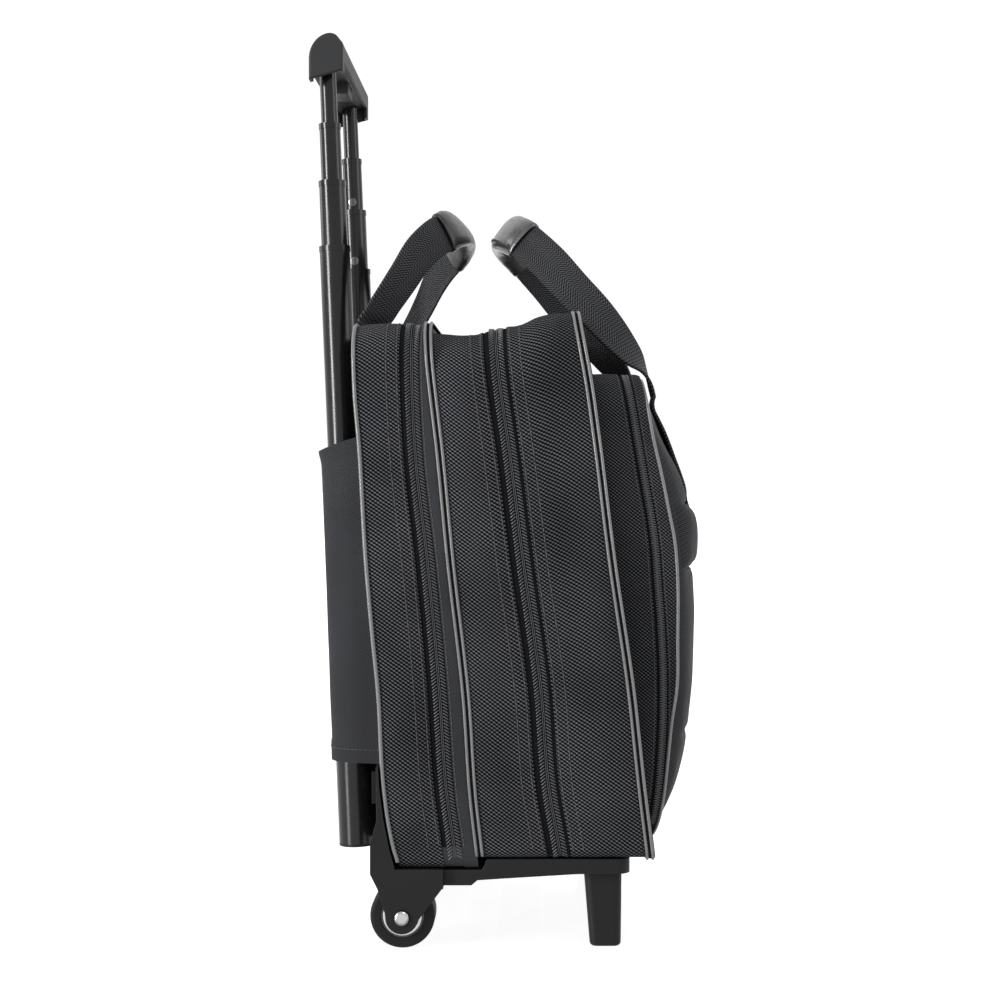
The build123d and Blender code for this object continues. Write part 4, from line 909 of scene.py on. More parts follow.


# hinge fabric at the foot of each zip
def hinge_fabric(name, prof, wa, wb, top, z0, zlow=LOW, hw=HW, rb=RB, rt=30.0, zt=None, ea=None, eb=None, mats=None, wall=2.0):
    ua = ea if ea is not None else off(prof, -wa - 1.5)
    ub = eb if eb is not None else off(prof, wb + 1.5)
    zt_ = top(float(prof(400.0))) if zt is None else zt
    i0, i1 = split_index(z0, rb, zt_, rt, zlow)
    Go = ring(ua, ub, top, z0, 15, 0.0, 0.5, hw, rb, rt, None, 0.15, 5.0, zt)
    Gi = ring(ua, ub, top, z0, 15, 0.0, 0.5 + wall, hw, rb, rt, None, 0.15, 5.0, zt)
    idx = list(range(i1 - 2, NLOOP)) + list(range(0, i0 + 3))
    o = shell(name, Go[idx], Gi[idx], False, mats or [PLAIN, LINING])
    u0, u1 = float(ua(70.0)), float(ub(70.0))
    s = W((0, u0 + 1.0, 60.0))
    e = W((0, u1 - 1.0, 60.0))
    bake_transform(o)
    return o


hinge_fabric("laptop_hinge_fabric", Z1, ZA1, ZB1, TOP_R, Z0R)
hinge_fabric("main_hinge_fabric", Z2, ZA2, ZB2, TOP_M, Z0F)
hinge_fabric("pocket_hinge_fabric", Z3, 4, 3, None, PZ0, zlow=77.0, hw=PHW, rb=PRB, rt=PRT, zt=PZT,
             ea=lambda z: np.maximum(Z3(z) - 6.0, P3(z) + 0.5), eb=lambda z: np.minimum(Z3(z) + 4.5, P4(z) - 0.1), wall=1.6)

# ---------------------------------------------------------------------------
# Padded pocket front: pressed out by a short cloth simulation
# ---------------------------------------------------------------------------
PAD_HX, PAD_Z0, PAD_Z1, PAD_RB, PAD_RT = 190.4, 70.0, 368.6, 20.0, 24.0


def rim_dist(x, z):
    """Distance inside the rounded outline of the pocket front."""
    x, z = np.asarray(x, float), np.asarray(z, float)
    zc, hh = (PAD_Z0 + PAD_Z1) / 2, (PAD_Z1 - PAD_Z0) / 2
    r = np.where(z < zc, PAD_RB, PAD_RT)
    qx, qz = np.abs(x) - (PAD_HX - r), np.abs(z - zc) - (hh - r)
    return r - np.hypot(np.maximum(qx, 0), np.maximum(qz, 0)) - np.minimum(np.maximum(qx, qz), 0)


def pad_depth(x, z, k=1.0):
    d = np.clip(rim_dist(x, z), 0, None)
    t = np.clip(d / 30.0, 0, 1)
    e = np.sqrt(np.clip(1 - (1 - t) ** 2, 0, 1))
    full = np.maximum(PAD(z) - P4(z), 0.8)
    crown = 5.5 * np.clip(1 - (np.asarray(x) / PAD_HX) ** 2, 0, 1) * np.sin(np.pi * np.clip((np.asarray(z) - PAD_Z0) / (PAD_Z1 - PAD_Z0), 0, 1)) ** 0.7
    crown = crown + 13.0 * np.exp(-((np.asarray(z) - 343.0) / 24.0) ** 2) * np.exp(-(np.asarray(x) / 140.0) ** 6)
    return e * (full + crown) * k


def pad_columns(nx, nz):
    t = np.linspace(-1, 1, nx)
    xs = PAD_HX * (0.5 * np.sin(t * math.pi / 2) + 0.5 * t)
    v = np.linspace(0, 1, nz)
    v = 0.5 * v + 0.5 * (0.5 - 0.5 * np.cos(v * math.pi))
    X, Z_ = np.empty((nx, nz)), np.empty((nx, nz))
    for i, x in enumerate(xs):
        eb, et = max(0.0, abs(x) - (PAD_HX - PAD_RB)), max(0.0, abs(x) - (PAD_HX - PAD_RT))
        zl = PAD_Z0 + PAD_RB - math.sqrt(max(PAD_RB ** 2 - eb * eb, 0.0))
        zh = PAD_Z1 - PAD_RT + math.sqrt(max(PAD_RT ** 2 - et * et, 0.0))
        X[i], Z_[i] = x, zl + v * (zh - zl)
    return X, Z_


def to_side(co):
    """Row frame in metres back to (x, u, z) in mm."""
    out = np.empty_like(co)
    out[:, 0] = (co[:, 0] - SH[0]) * 1000
    out[:, 1] = U0 - (co[:, 1] - SH[1]) * 1000
    out[:, 2] = (co[:, 2] - SH[2]) * 1000
    return out


def get_co(me):
    co = np.empty(len(me.vertices) * 3)
    me.vertices.foreach_get("co", co)
    return co.reshape(-1, 3)


def cloth_press(o, pinned, frames=18, pressure=4.0, cap=6.0, stiff=12.0):
    """Presses a closed mesh out from inside, holds the pinned points and caps the travel (mm)."""
    me = o.data
    start = get_co(me)
    vg = o.vertex_groups.new(name="pin")
    vg.add([int(i) for i in np.nonzero(pinned)[0]], 1.0, "REPLACE")
    md = o.modifiers.new("Cloth", "CLOTH")
    s = md.settings
    s.quality = 6
    s.mass = 0.25
    s.tension_stiffness = s.compression_stiffness = stiff
    s.shear_stiffness = 5.0
    s.bending_stiffness = 0.8
    s.use_pressure = True
    s.uniform_pressure_force = pressure
    s.vertex_group_mass = "pin"
    s.effector_weights.gravity = 0.0
    md.collision_settings.use_collision = False
    md.point_cache.frame_start, md.point_cache.frame_end = 1, frames
    sc = bpy.context.scene
    for f in range(1, frames + 1):
        sc.frame_set(f)
    dg = bpy.context.evaluated_depsgraph_get()
    ev = o.evaluated_get(dg).to_mesh()
    end = get_co(ev)
    o.evaluated_get(dg).to_mesh_clear()
    o.modifiers.remove(md)
    o.vertex_groups.clear()
    sc.frame_set(1)
    if end.shape != start.shape or not np.isfinite(end).all():
        return start
    d = end - start
    ln = np.linalg.norm(d, axis=1, keepdims=True)
    d *= np.minimum(1.0, cap * 0.001 / np.maximum(ln, 1e-9))
    me.vertices.foreach_set("co", (start + d).ravel())
    me.update()
    return start + d


def voxel(o, size):
    md = o.modifiers.new("Remesh", "REMESH")
    md.mode = "VOXEL"
    md.voxel_size = size
    dg = bpy.context.evaluated_depsgraph_get()
    me = bpy.data.meshes.new_from_object(o.evaluated_get(dg))
    o.modifiers.remove(md)
    old = o.data
    me.name = old.name
    mats = list(old.materials)
    o.data = me
    me.materials.clear()
    for m in mats:
        me.materials.append(m)
    return o


def subdiv(o, levels=1):
    md = o.modifiers.new("Subdivision", "SUBSURF")
    md.levels = md.render_levels = levels
    dg = bpy.context.evaluated_depsgraph_get()
    me = bpy.data.meshes.new_from_object(o.evaluated_get(dg))
    o.modifiers.remove(md)
    mats = list(o.data.materials)
    o.data = me
    me.materials.clear()
    for m in mats:
        me.materials.append(m)
    me.polygons.foreach_set("use_smooth", np.ones(len(me.polygons), bool))
    return o


X_, Z_ = pad_columns(74, 62)
k0 = 0.86
Gf = np.stack([X_, P4(Z_) + 0.2 + pad_depth(X_, Z_, k0), Z_], -1)
Gb = np.stack([X_, P4(Z_) - 9.0, Z_], -1)
pad = shell("pocket_front_pad", Gf, Gb, False, [PADF])
voxel(pad, 0.005)
co = to_side(get_co(pad.data))
rim = rim_dist(co[:, 0], co[:, 2])
pinned = (rim < 6.0) | (co[:, 1] < P4(co[:, 2]) - 2.5)
end = to_side(cloth_press(pad, pinned, frames=20, pressure=4.0, cap=7.0))


def settle_pad(co):
    """Keeps the pressed shape but brings its fullest line back to the pad's own side outline."""
    x, u, z = co[:, 0], co[:, 1], co[:, 2]
    dep = u - P4(z)
    zb = np.linspace(PAD_Z0, PAD_Z1, 40)
    want = np.maximum(PAD(zb) - P4(zb), 0.8)
    have = np.empty_like(zb)
    for i, zz in enumerate(zb):
        sel = (np.abs(z - zz) < 7) & (np.abs(np.abs(x) - 165) < 10)
        have[i] = dep[sel].max() if sel.any() else want[i]
    k = np.clip(want / np.maximum(have, 0.5), 0.6, 1.35)
    k = np.convolve(np.pad(k, 3, mode="edge"), np.ones(7) / 7, "valid")
    kk = np.interp(z, zb, k)
    dep = np.where(dep > 0, dep * kk, dep)
    dep = np.maximum(dep, -1.7)
    co = co.copy()
    co[:, 1] = P4(z) + dep
    return co


me = pad.data
me.vertices.foreach_set("co", W(settle_pad(end)).ravel())
me.update()
subdiv(pad, 1)


BAND_Z0, BAND_Z1 = 247.0, 286.0


def groove(co):
    """Sewn channels above and below the raised band, soft quilting creases at the rim."""
    x, u, z = co[:, 0], co[:, 1], co[:, 2]
    front = u > P4(z) + 0.5
    g = 2.6 * np.exp(-((z - BAND_Z0 + 1) / 3.6) ** 2) + 2.2 * np.exp(-((z - BAND_Z1 - 1) / 3.6) ** 2)
    g += 1.9 * np.exp(-((z - 135.0) / 2.6) ** 2)
    for sx in (-112.0, 112.0):
        g += 1.3 * np.exp(-((np.abs(x - sx) - 15) / 4.0) ** 2) * np.clip((z - 284) / 8, 0, 1) * np.clip((352 - z) / 20, 0, 1)
    w = np.array([nz3(p, 0.018, 3.0) + 0.5 * nz3(p, 0.05, 8.0) for p in co])
    pull = np.array([abs(noise.noise(Vector((p[0] * 0.07, 0.0, 5.0)))) for p in co]) * 1.2
    near = np.exp(-np.minimum(np.abs(z - BAND_Z0), np.abs(z - BAND_Z1)) / 14.0)
    co = co.copy()
    amp = np.clip(rim_dist(x, z) / 25.0, 0, 1)
    co[:, 1] = np.where(front, np.maximum(u - g * amp - pull * near * amp + 0.9 * w * amp, P4(z) + 0.2), u)
    return co


co = groove(to_side(get_co(pad.data)))
pad.data.vertices.foreach_set("co", W(co).ravel())
pad.data.update()
ride(pad, "cover", "pad_fabric", "pocket_cover")

bm = bmesh.new()
bm.from_mesh(pad.data)
PAD_TREE = BVHTree.FromBMesh(bm)
bm.free()


def pad_u(x, z, default=None):
    """Front surface of the pressed pad at (x, z)."""
    o_ = Vector(W((x, 200.0, z)))
    hit = PAD_TREE.ray_cast(o_, Vector((0, 1, 0)))
    if hit[0] is None:
        return float(P4(z)) if default is None else default
    return U0 - (hit[0].y - SH[1]) * 1000


# raised padded band across the pad
BULGE = Prof([(92.0, 245.0), (95.4, 250.0), (97.6, 257.0), (98.2, 265.0), (97.2, 275.0), (94.6, 282.5), (91.0, 288.0)])
nx_, nz_ = 96, 20
xs = 187.5 * np.sin(np.linspace(-1, 1, nx_) * math.pi / 2) * 0.35 + 187.5 * np.linspace(-1, 1, nx_) * 0.65
zz_ = BAND_Z0 - 1.5 + (BAND_Z1 - BAND_Z0 + 3.0) * (0.5 - 0.5 * np.cos(np.linspace(0, math.pi, nz_)))
Gf, Gb = np.empty((nx_, nz_, 3)), np.empty((nx_, nz_, 3))
for i, x in enumerate(xs):
    for j, z in enumerate(zz_):
        s = pad_u(x, z)
        v = (z - zz_[0]) / (zz_[-1] - zz_[0])
        endt = min(1.0, (187.5 - abs(x)) / 9.0)
        dome = math.sqrt(max(1 - (2 * v - 1) ** 2, 0.0)) ** 0.8
        h = 4.6 * dome * math.sqrt(max(0.0, 1 - (1 - endt) ** 2))
        for sx in (-112.0, 112.0):
            h += 1.0 * math.exp(-((abs(x) - 112.0) / 13.0) ** 4) * dome * 0.5
        h += 0.5 * dome * noise.noise(Vector((x * 0.045, z * 0.03, 1.7))) + 0.25 * dome * noise.noise(Vector((x * 0.16, z * 0.02, 4.1)))
        Gf[i, j] = (x, s + 0.25 + h, z)
        Gb[i, j] = (x, s - 1.0, z)
band = shell("pocket_band_pad", Gf, Gb, False, [PADF])
ride(band, "cover", "pad_fabric")

# ---------------------------------------------------------------------------
# Sleeve over the outer tubes
# ---------------------------------------------------------------------------
TILT, TU, TZ = 0.04094, -138.5, 40.0


def axis_u(z):
    return TU - (z - TZ) * TILT


def sleeve_section(z, ins, n=120):
    """Close over both tubes, slack between them, edges sewn to the back panel."""
    r = 17.4 - 1.0 * np.clip((z - 104.0) / 150.0, 0, 1) - ins
    cu = axis_u(z)
    back = float(P1(z)) - 0.3 - ins * 0.2
    hx = 97.4 - ins
    # from the seam on the left, round the left tube, across, round the right tube, to the right seam
    half = [(-hx, back), (-hx + 0.2, back - 4.0), (-hx + 0.9, back - 8.0), (-92.6 + ins, cu + 2.0)]
    for a in np.radians(np.linspace(205, 268, 9)):
        half.append((-71.5 + (r + 1.4 * math.cos(a) ** 2) * math.cos(a), cu + r * math.sin(a)))
    sag = 3.4
    mid_ = [(x, cu - r + sag * (1 - (x / 68.0) ** 2) ** 0.8) for x in np.linspace(-66, 66, 13)]
    c = np.array(half + mid_ + [(-x, u) for x, u in half[::-1]])
    s = np.concatenate([[0], np.cumsum(np.linalg.norm(np.diff(c, axis=0), axis=1))])
    q = np.linspace(0, s[-1], n)
    x, u = np.interp(q, s, c[:, 0]), np.interp(q, s, c[:, 1])
    for _ in range(5):
        x[1:-1] = 0.25 * x[:-2] + 0.5 * x[1:-1] + 0.25 * x[2:]
        u[1:-1] = 0.25 * u[:-2] + 0.5 * u[1:-1] + 0.25 * u[2:]
    return x, u


SL_Z0, SL_Z1 = 101.8, 336.5
nzs = 74
zs = SL_Z0 + (SL_Z1 - SL_Z0) * np.linspace(0, 1, nzs)
Go, Gi = np.empty((120, nzs, 3)), np.empty((120, nzs, 3))


for j, z in enumerate(zs):
    f = j / (nzs - 1)
    x, u = sleeve_section(z, 0.0)
    xi, ui = sleeve_section(z, 2.0)
    # the mouth is cut on a slope: lower at the back than at the bag
    P1z = float(P1(z))
    back_share = np.clip((P1z - u) / 45.0, 0, 1)
    dz = -13.5 * back_share ** 1.3 * max(0.0, (f - 0.78) / 0.22) ** 1.2
    mouth = 1.6 * math.exp(-((1 - f) / 0.035) ** 2)
    hem = 0.7 * (1 if f < 0.055 else 0)
    for arr, xx, uu in ((Go, x, u), (Gi, xi, ui)):
        w = np.array([0.9 * nz3((a, 0.6 * b, z), 0.016, 12.0) + 0.35 * nz3((a, b, z * 0.5), 0.06, 5.0) for a, b in zip(xx, uu)])
        gate = np.clip((P1z - uu) / 10.0, 0, 1)
        k = 1 + 0.004 * mouth
        arr[:, j, 0] = xx * k
        arr[:, j, 1] = uu - (0.7 * w + hem + mouth) * gate + 0.5 * gate
        arr[:, j, 2] = z + dz
sleeve = shell("trolley_sleeve_fabric", Go, Gi, False, [PLAIN, LINING], inner_mat=1)
ride(sleeve, "chassis", "plain_fabric", "trolley_sleeve")
lens = np.linalg.norm(np.diff(Go[:, nzs // 2], axis=0), axis=1).sum() / 1000.0

# ---------------------------------------------------------------------------
# Handles
# ---------------------------------------------------------------------------


def stations(st):
    right = [(-x, u, z, (-w[0], w[1], w[2])) for x, u, z, w in st[:-1]][::-1]
    return st + right


def smooth_path(st, step=3.0):
    """Catmull-Rom through the stations; returns points, width directions."""
    P = np.array([s[:3] for s in st], float)
    Wd = np.array([s[3] for s in st], float)
    s = np.concatenate([[0], np.cumsum(np.linalg.norm(np.diff(P, axis=0), axis=1))])
    q = np.linspace(0, s[-1], int(s[-1] / step) + 1)

    def cr(A):
        m = np.zeros_like(A)
        for i in range(1, len(A) - 1):
            m[i] = ((A[i] - A[i - 1]) / (s[i] - s[i - 1]) * (s[i + 1] - s[i]) + (A[i + 1] - A[i]) / (s[i + 1] - s[i]) * (s[i] - s[i - 1])) / (s[i + 1] - s[i - 1])
        m[0], m[-1] = (A[1] - A[0]) / (s[1] - s[0]), (A[-1] - A[-2]) / (s[-1] - s[-2])
        i = np.clip(np.searchsorted(s, q) - 1, 0, len(s) - 2)
        h = (s[i + 1] - s[i])[:, None]
        t = ((q - s[i]) / (s[i + 1] - s[i]))[:, None]
        return (2 * t ** 3 - 3 * t ** 2 + 1) * A[i] + (t ** 3 - 2 * t ** 2 + t) * m[i] * h + (-2 * t ** 3 + 3 * t ** 2) * A[i + 1] + (t ** 3 - t ** 2) * m[i + 1] * h
    P2_, W2 = cr(P), cr(Wd)
    return P2_, W2 / np.linalg.norm(W2, axis=1, keepdims=True)


def frames(P, Wd):
    t = np.gradient(P, axis=0)
    t /= np.linalg.norm(t, axis=1, keepdims=True)
    w = Wd - t * (Wd * t).sum(1, keepdims=True)
    w /= np.linalg.norm(w, axis=1, keepdims=True)
    m = np.cross(t, w)
    return t, w, m


def ribbon(name, P, Wd, width, thick, mats, bow=0.0):
    """Flat webbing: flat faces, thin rounded selvedges, closed ends."""
    t, w, m = frames(P, Wd)
    hw, ht = width / 2, thick / 2
    prof = [(-1.0, 0.0), (-0.985, 0.62), (-0.95, 0.95), (-0.90, 1.06), (-0.84, 0.96), (-0.5, 1.0), (0.0, 1.0), (0.5, 1.0), (0.84, 0.96), (0.90, 1.06), (0.95, 0.95), (0.985, 0.62), (1.0, 0.0)]
    prof = prof + [(a, -b) for a, b in prof[-2:0:-1]]
    pr = np.array(prof)
    bend = bow * (1 - pr[:, 0] ** 2)
    G = P[:, None] + w[:, None] * (pr[None, :, 0:1] * hw) + m[:, None] * (pr[None, :, 1:2] * ht + bend[None, :, None])
    mb = MB()
    n, k = G.shape[:2]
    b = mb.verts(G)
    s = np.concatenate([[0], np.cumsum(np.linalg.norm(np.diff(P, axis=0), axis=1))]) * 0.001
    across = pr[:, 0] * hw * 0.001
    for i in range(n - 1):
        for j in range(k):
            j2 = (j + 1) % k
            mb.face([b + i * k + j, b + (i + 1) * k + j, b + (i + 1) * k + j2, b + i * k + j2],
                    [(across[j], s[i]), (across[j], s[i + 1]), (across[j2], s[i + 1]), (across[j2], s[i])])
    mb.face([b + j for j in range(k)][::-1])
    mb.face([b + (n - 1) * k + j for j in range(k)])
    return mb.obj(name, mats, smooth=50)


RH = [(-112, -129.8, 397.0, (1.0, 0.0, 0.0)), (-112, -132.6, 403.0, (1.0, 0.0, 0.0)), (-111.6, -130.6, 410.0, (0.95, 0.2, -0.2)),
      (-110.6, -121.5, 418.5, (0.78, 0.44, -0.44)), (-107, -112.8, 432.0, (0.74, 0.49, -0.46)), (-99.5, -104.0, 447.0, (0.68, 0.52, -0.5)),
      (-87, -93.5, 466.0, (0.52, 0.53, -0.65)), (-75, -84.8, 477.0, (0.38, 0.47, -0.78)), (-62, -77.6, 484.0, (0.22, 0.47, -0.85)),
      (-40, -71.8, 490.4, (0.05, 0.6, -0.8)), (-20, -69.6, 492.8, (0.0, 0.66, -0.75)), (0, -69.0, 493.4, (0.0, 0.66, -0.75))]
FH = [(-112, 72.4, 361.0, (1.0, 0.0, 0.0)), (-112, 70.4, 369.0, (1.0, 0.0, 0.0)), (-111, 66.2, 378.5, (0.97, 0.1, 0.1)),
      (-110, 59.0, 388.5, (0.8, 0.4, 0.3)), (-108, 48.5, 402.0, (0.6, 0.55, 0.45)), (-104, 33.0, 421.0, (0.4, 0.65, 0.6)),
      (-96, 14.5, 441.5, (0.25, 0.7, 0.65)), (-84, -1.0, 460.0, (0.15, 0.65, 0.7)), (-72, -12.0, 471.5, (0.1, 0.6, 0.75)),
      (-62, -19.0, 478.5, (0.05, 0.6, 0.8)),
      (-40, -28.0, 486.0, (0.0, 0.6, 0.78)), (-20, -32.4, 489.6, (0.0, 0.6, 0.78)), (0, -33.4, 490.5, (0.0, 0.6, 0.78))]


def handle(prefix, st, body, seam_side, LEATHER):
    P, Wd = smooth_path(stations(st), 2.6)
    web = ribbon(prefix + "_webbing_strap", P, Wd, 28.0, 2.3, [WEB], bow=0.6)
    ride(web, body, "webbing", prefix + "_webbing")
    t, w, m = frames(P, Wd)
    sel = np.abs(P[:, 0]) <= 63.5
    Pw, tw, ww, mw = P[sel], t[sel], w[sel], m[sel]
    # padded wrap: crowned body, rolled rims at both ends, sewn lip along one edge
    n = len(Pw)
    s = np.concatenate([[0], np.cumsum(np.linalg.norm(np.diff(Pw, axis=0), axis=1))])
    L = s[-1]
    endd = np.minimum(s, L - s)
    seg = 40
    th = 2 * np.pi * np.arange(seg) / seg
    cx = np.sign(np.cos(th)) * np.abs(np.cos(th)) ** (2 / 2.7)
    cy = np.sign(np.sin(th)) * np.abs(np.sin(th)) ** (2 / 2.3)
    fullness = np.clip(endd / 9.0, 0, 1)
    a = 14.9 + 0.6 * fullness
    b = 4.6 + 1.5 * np.sqrt(fullness)
    rollr = 0.55 * np.exp(-((endd - 1.6) / 1.3) ** 2)
    rings = []
    for i in range(n):
        aa, bb = a[i] + rollr[i], b[i] + rollr[i]
        rad = np.ones(seg)
        for k in range(seg):
            lip = 1.0 if (seam_side * cy[k] > 0.25 and abs(cx[k]) > 0.5 and cx[k] < 0) else 0.0
            rad[k] += 0.018 * nz3((s[i] * 1.3, 20 * cx[k], 20 * cy[k]), 0.06, 4.0) * (0.4 + fullness[i])
        ring_ = Pw[i] + ww[i] * (cx * aa * rad)[:, None] + mw[i] * (cy * bb * rad)[:, None]
        rings.append(ring_)
    G = np.array(rings)
    mb = MB()
    base = mb.verts(G)
    per = np.concatenate([[0], np.cumsum(np.linalg.norm(np.diff(np.concatenate([G[n // 2], G[n // 2, :1]]), axis=0), axis=1))]) * 0.001
    for i in range(n - 1):
        for k in range(seg):
            k2 = (k + 1) % seg
            mb.face([base + i * seg + k, base + (i + 1) * seg + k, base + (i + 1) * seg + k2, base + i * seg + k2],
                    [(per[k], s[i] * 0.001), (per[k], s[i + 1] * 0.001), (per[k + 1], s[i + 1] * 0.001), (per[k + 1], s[i] * 0.001)])
    # ends: a rolled rim and a recessed face around the webbing
    for i, sgn in ((0, 1.0), (n - 1, -1.0)):
        prev = [base + i * seg + k for k in range(seg)]
        for shr, dep in ((0.93, -0.5), (0.84, -0.2), (0.78, 1.2), (0.70, 2.6)):
            r2 = Pw[i] + ww[i] * (cx * a[i] * shr)[:, None] + mw[i] * (cy * b[i] * shr)[:, None] + tw[i] * dep * sgn
            nb = mb.verts(r2)
            for k in range(seg):
                k2 = (k + 1) % seg
                mb.face([prev[k], prev[k2], nb + k2, nb + k])
            prev = [nb + k for k in range(seg)]
        mb.face(prev)
    wrap = mb.obj(prefix + "_padded_wrap", [LEATHER], smooth=75)
    ride(wrap, body, "wrap_leather", prefix + "_wrap")
    # sewn lip along one edge of the wrap, with its stitches
    k = int(round(0.36 * seg)) if seam_side > 0 else int(round(0.64 * seg))
    edge = G[2:-2, k]
    nrm_ = (G[2:-2, k] - Pw[2:-2])
    lip = sweep(prefix + "_wrap_lip", edge - nrm_ * 0.02, nrm_, 1.5, 0.75, [LEATHER], seg=10, power=2.6)
    ride(lip, body, "wrap_leather")
    q, nq, tq = resample(edge, 3.4, (nrm_,), start=3.0)
    nq = nq / np.linalg.norm(nq, axis=1, keepdims=True)
    st_ = capsules(prefix + "_wrap_stitches", q + nq * 0.62, tq + 0.35 * np.cross(nq, tq), nq, 1.1, 0.34, 0.34, THREAD)
    ride(st_, body, "wrap_leather")
    return P, Wd


RP, RW = handle("rear_handle", RH, "rear_handle", -1, LEATHER)
FP, FW = handle("front_handle", FH, "front_handle", 1, LEATHER_F_PAINTED_LIGHTER)


def box_stitch(name, P, Wd, i0, i1, lift_, body, inset=3.0, cross=True, pitch=2.6):
    """Sewn box with a cross on a run of webbing."""
    t, w, m = frames(P, Wd)
    c0, c1 = P[i0], P[i1]
    hw = 14.0 - inset
    A = [P[i] + w[i] * hw for i in range(i0, i1 + 1)]
    B = [P[i] - w[i] * hw for i in range(i0, i1 + 1)]
    M = np.mean(m[i0:i1 + 1], axis=0)
    paths = [A, B, [A[0], B[0]], [A[-1], B[-1]]]
    if cross:
        n = len(A)
        paths.append([A[i] * (1 - i / (n - 1)) + B[i] * (i / (n - 1)) for i in range(n)])
        paths.append([B[i] * (1 - i / (n - 1)) + A[i] * (i / (n - 1)) for i in range(n)])
    C, D = [], []
    for p in paths:
        q, tt = resample(np.array(p), pitch, start=0.6)
        C.append(q)
        D.append(tt)
    C, D = np.concatenate(C), np.concatenate(D)
    N = np.repeat(M[None], len(C), 0)
    o = capsules(name, C + N * lift_, D, N, 0.95, 0.3, 0.3, THREAD)
    ride(o, body, "webbing")


for sx in (-1, 1):
    side = "left" if sx < 0 else "right"
    # front: webbing sewn on the pad, from under the band up to the handle's pivot
    zs_ = np.array([284.0, 290.0, 298.0, 308.0, 318.0, 328.0, 338.0, 346.0, 353.0, 358.0, 361.5])
    pts = []
    for z in zs_:
        us = max(pad_u(sx * 112 + d, z) for d in (-13, -6, 0, 6, 13)) + 1.3
        k = min(max((z - 352.0) / 9.0, 0.0), 1.0)
        k = k * k * (3 - 2 * k)
        pts.append((sx * 112.0, us * (1 - k) + 72.4 * k, z, (1.0, 0.0, 0.0)))
    P, Wd = smooth_path(pts, 2.6)
    o = ribbon("front_anchor_webbing_" + side, P, Wd, 28.0, 2.3, [WEB])
    ride(o, "cover", "webbing", *(("front_handle_anchors",) if sx < 0 else ()))
    n = len(P)
    box_stitch("front_anchor_stitch_" + side, P, Wd, 4, min(n - 6, 16), -1.35, "cover")
    # rear: webbing sewn on the back panel
    pts = [(sx * 112.0, float(P1(z)) - 1.3, z, (1.0, 0.0, 0.0)) for z in (330.0, 340.0, 352.0, 364.0, 376.0, 388.0)] + [(sx * 112.0, -129.6, 397.5, (1.0, 0.0, 0.0))]
    P, Wd = smooth_path(pts, 2.6)
    o = ribbon("rear_anchor_webbing_" + side, P, Wd, 28.0, 2.3, [WEB])
    ride(o, "chassis", "webbing", *(("rear_handle_anchors",) if sx < 0 else ()))
    box_stitch("rear_anchor_stitch_" + side, P, Wd, 2, 13, 1.35, "chassis")

# ---------------------------------------------------------------------------
# Stitch rows
# ---------------------------------------------------------------------------


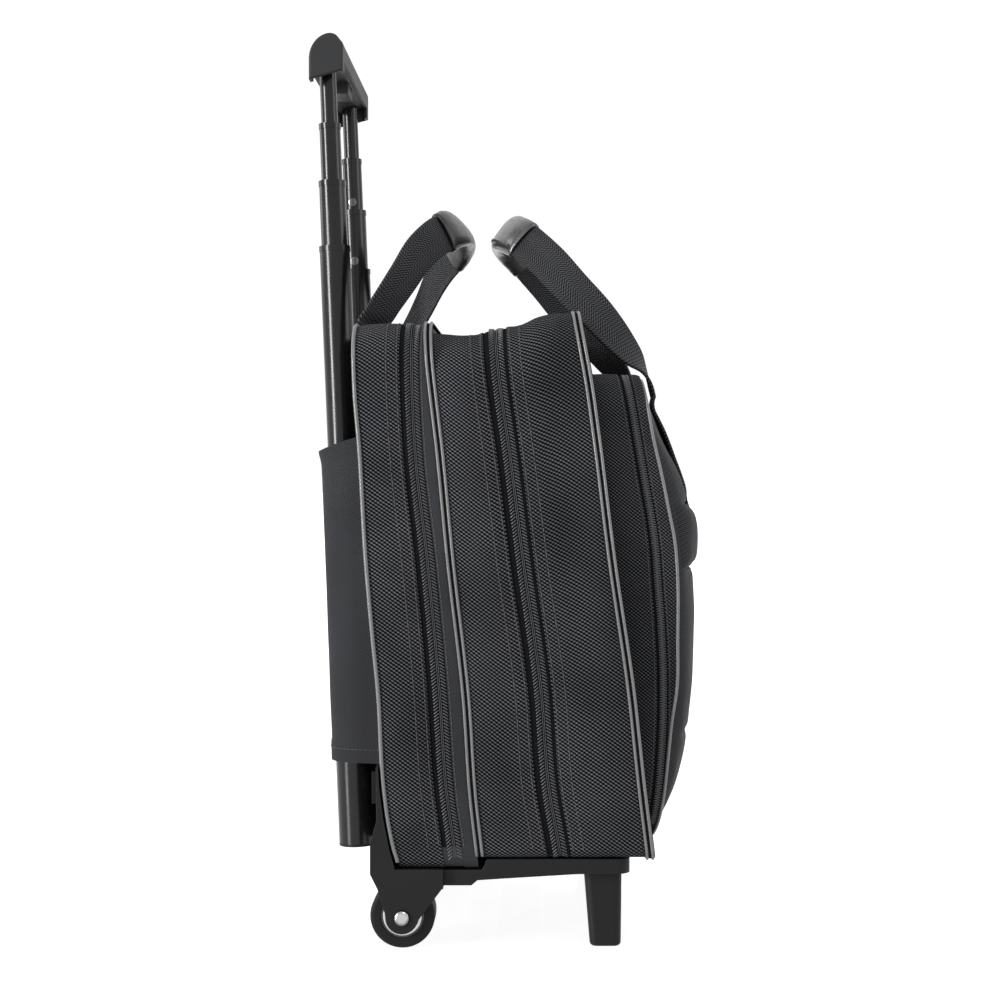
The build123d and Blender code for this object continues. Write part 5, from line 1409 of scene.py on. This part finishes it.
def stitch_loop(name, G, j_from_edge, body, side_end, zmin=64.0, pitch=3.3, half=1.15, r=0.3, lift_=0.12, closed=True):
    """A row of stitches on a gusset grid, a given distance from its edge (side_end 0 rear edge, -1 front edge)."""
    H = G if side_end == 0 else G[:, ::-1]
    seg = np.linalg.norm(np.diff(H, axis=1), axis=2)
    cum = np.concatenate([np.zeros((len(H), 1)), np.cumsum(seg, 1)], 1)
    pts = np.empty((len(H), 3))
    for i in range(len(H)):
        d = min(j_from_edge, cum[i, -1] * 0.8)
        for c in range(3):
            pts[i, c] = np.interp(d, cum[i], H[i, :, c])
    dv = H[:, 1] - H[:, 0]
    tv = np.roll(H[:, 0], -1, 0) - np.roll(H[:, 0], 1, 0)
    nv = np.cross(tv, dv)
    nv /= np.linalg.norm(nv, axis=1, keepdims=True)
    c0 = np.array([0, H[:, 0, 1].mean(), 230.0])
    sgn = np.sign(((H[:, 0] - c0) * nv).sum(1, keepdims=True))
    nv *= np.where(sgn == 0, 1, sgn)
    keep = pts[:, 2] > zmin
    i0 = int(np.argmax(keep))
    i1 = len(keep) - 1 - int(np.argmax(keep[::-1]))
    q, nq, tq = resample(pts[i0:i1 + 1], pitch, (nv[i0:i1 + 1],), start=1.0)
    o = capsules(name, q + nq * lift_, tq, nq, half, r, r, THREAD)
    ride(o, body, "body_fabric")


stitch_loop("rear_gusset_stitch_a", G_rear, 1.8, "chassis", -1)
stitch_loop("rear_gusset_stitch_b", G_rear, 8.6, "chassis", -1)
stitch_loop("laptop_strip_stitch", G_strip, 1.3, "mid", 0)
stitch_loop("mid_gusset_stitch_a", G_mid, 1.8, "mid", -1)
stitch_loop("mid_gusset_stitch_b", G_mid, 8.6, "mid", -1)
stitch_loop("front_gusset_stitch_a", G_front, 1.8, "front", 0)
stitch_loop("front_gusset_stitch_b", G_front, 8.6, "front", 0)
stitch_loop("pocket_gusset_stitch", G_pk, 1.5, "front", -1, zmin=96.0, pitch=2.8, half=0.95, r=0.26)
stitch_loop("cover_strip_stitch", G_cv, 1.2, "cover", 0, zmin=96.0, pitch=2.8, half=0.95, r=0.26)


def pad_row(name, pts, body, pitch=3.2):
    """Stitches lying on the pad along (x, z) points."""
    P = np.array([(x, pad_u(x, z) + 0.25, z) for x, z in pts])
    q, tq = resample(P, pitch, start=1.0)
    N = np.repeat(np.array([[0.0, 1.0, 0.0]]), len(q), 0)
    o = capsules(name, q, tq, N, 1.1, 0.32, 0.32, THREAD)
    ride(o, body, "pad_fabric")


xr = np.linspace(-182, 182, 130)
pad_row("band_stitch_low", [(x, BAND_Z0 - 4.0) for x in xr], "cover")
pad_row("band_stitch_high", [(x, BAND_Z1 + 4.0) for x in xr], "cover")

# sleeve hem
hz = 9
q, tq = resample(Go[4:-4, 3], 3.2, start=1.0)
N = np.zeros_like(q)
N[:, 1] = -1.0
o = capsules("sleeve_hem_stitch", q + N * 0.25 + np.stack([np.sign(q[:, 0]) * (np.abs(q[:, 0]) > 84) * 0.3, 0 * q[:, 0], 0 * q[:, 0]], 1), tq, N, 1.1, 0.3, 0.3, THREAD)
ride(o, "chassis", "plain_fabric")
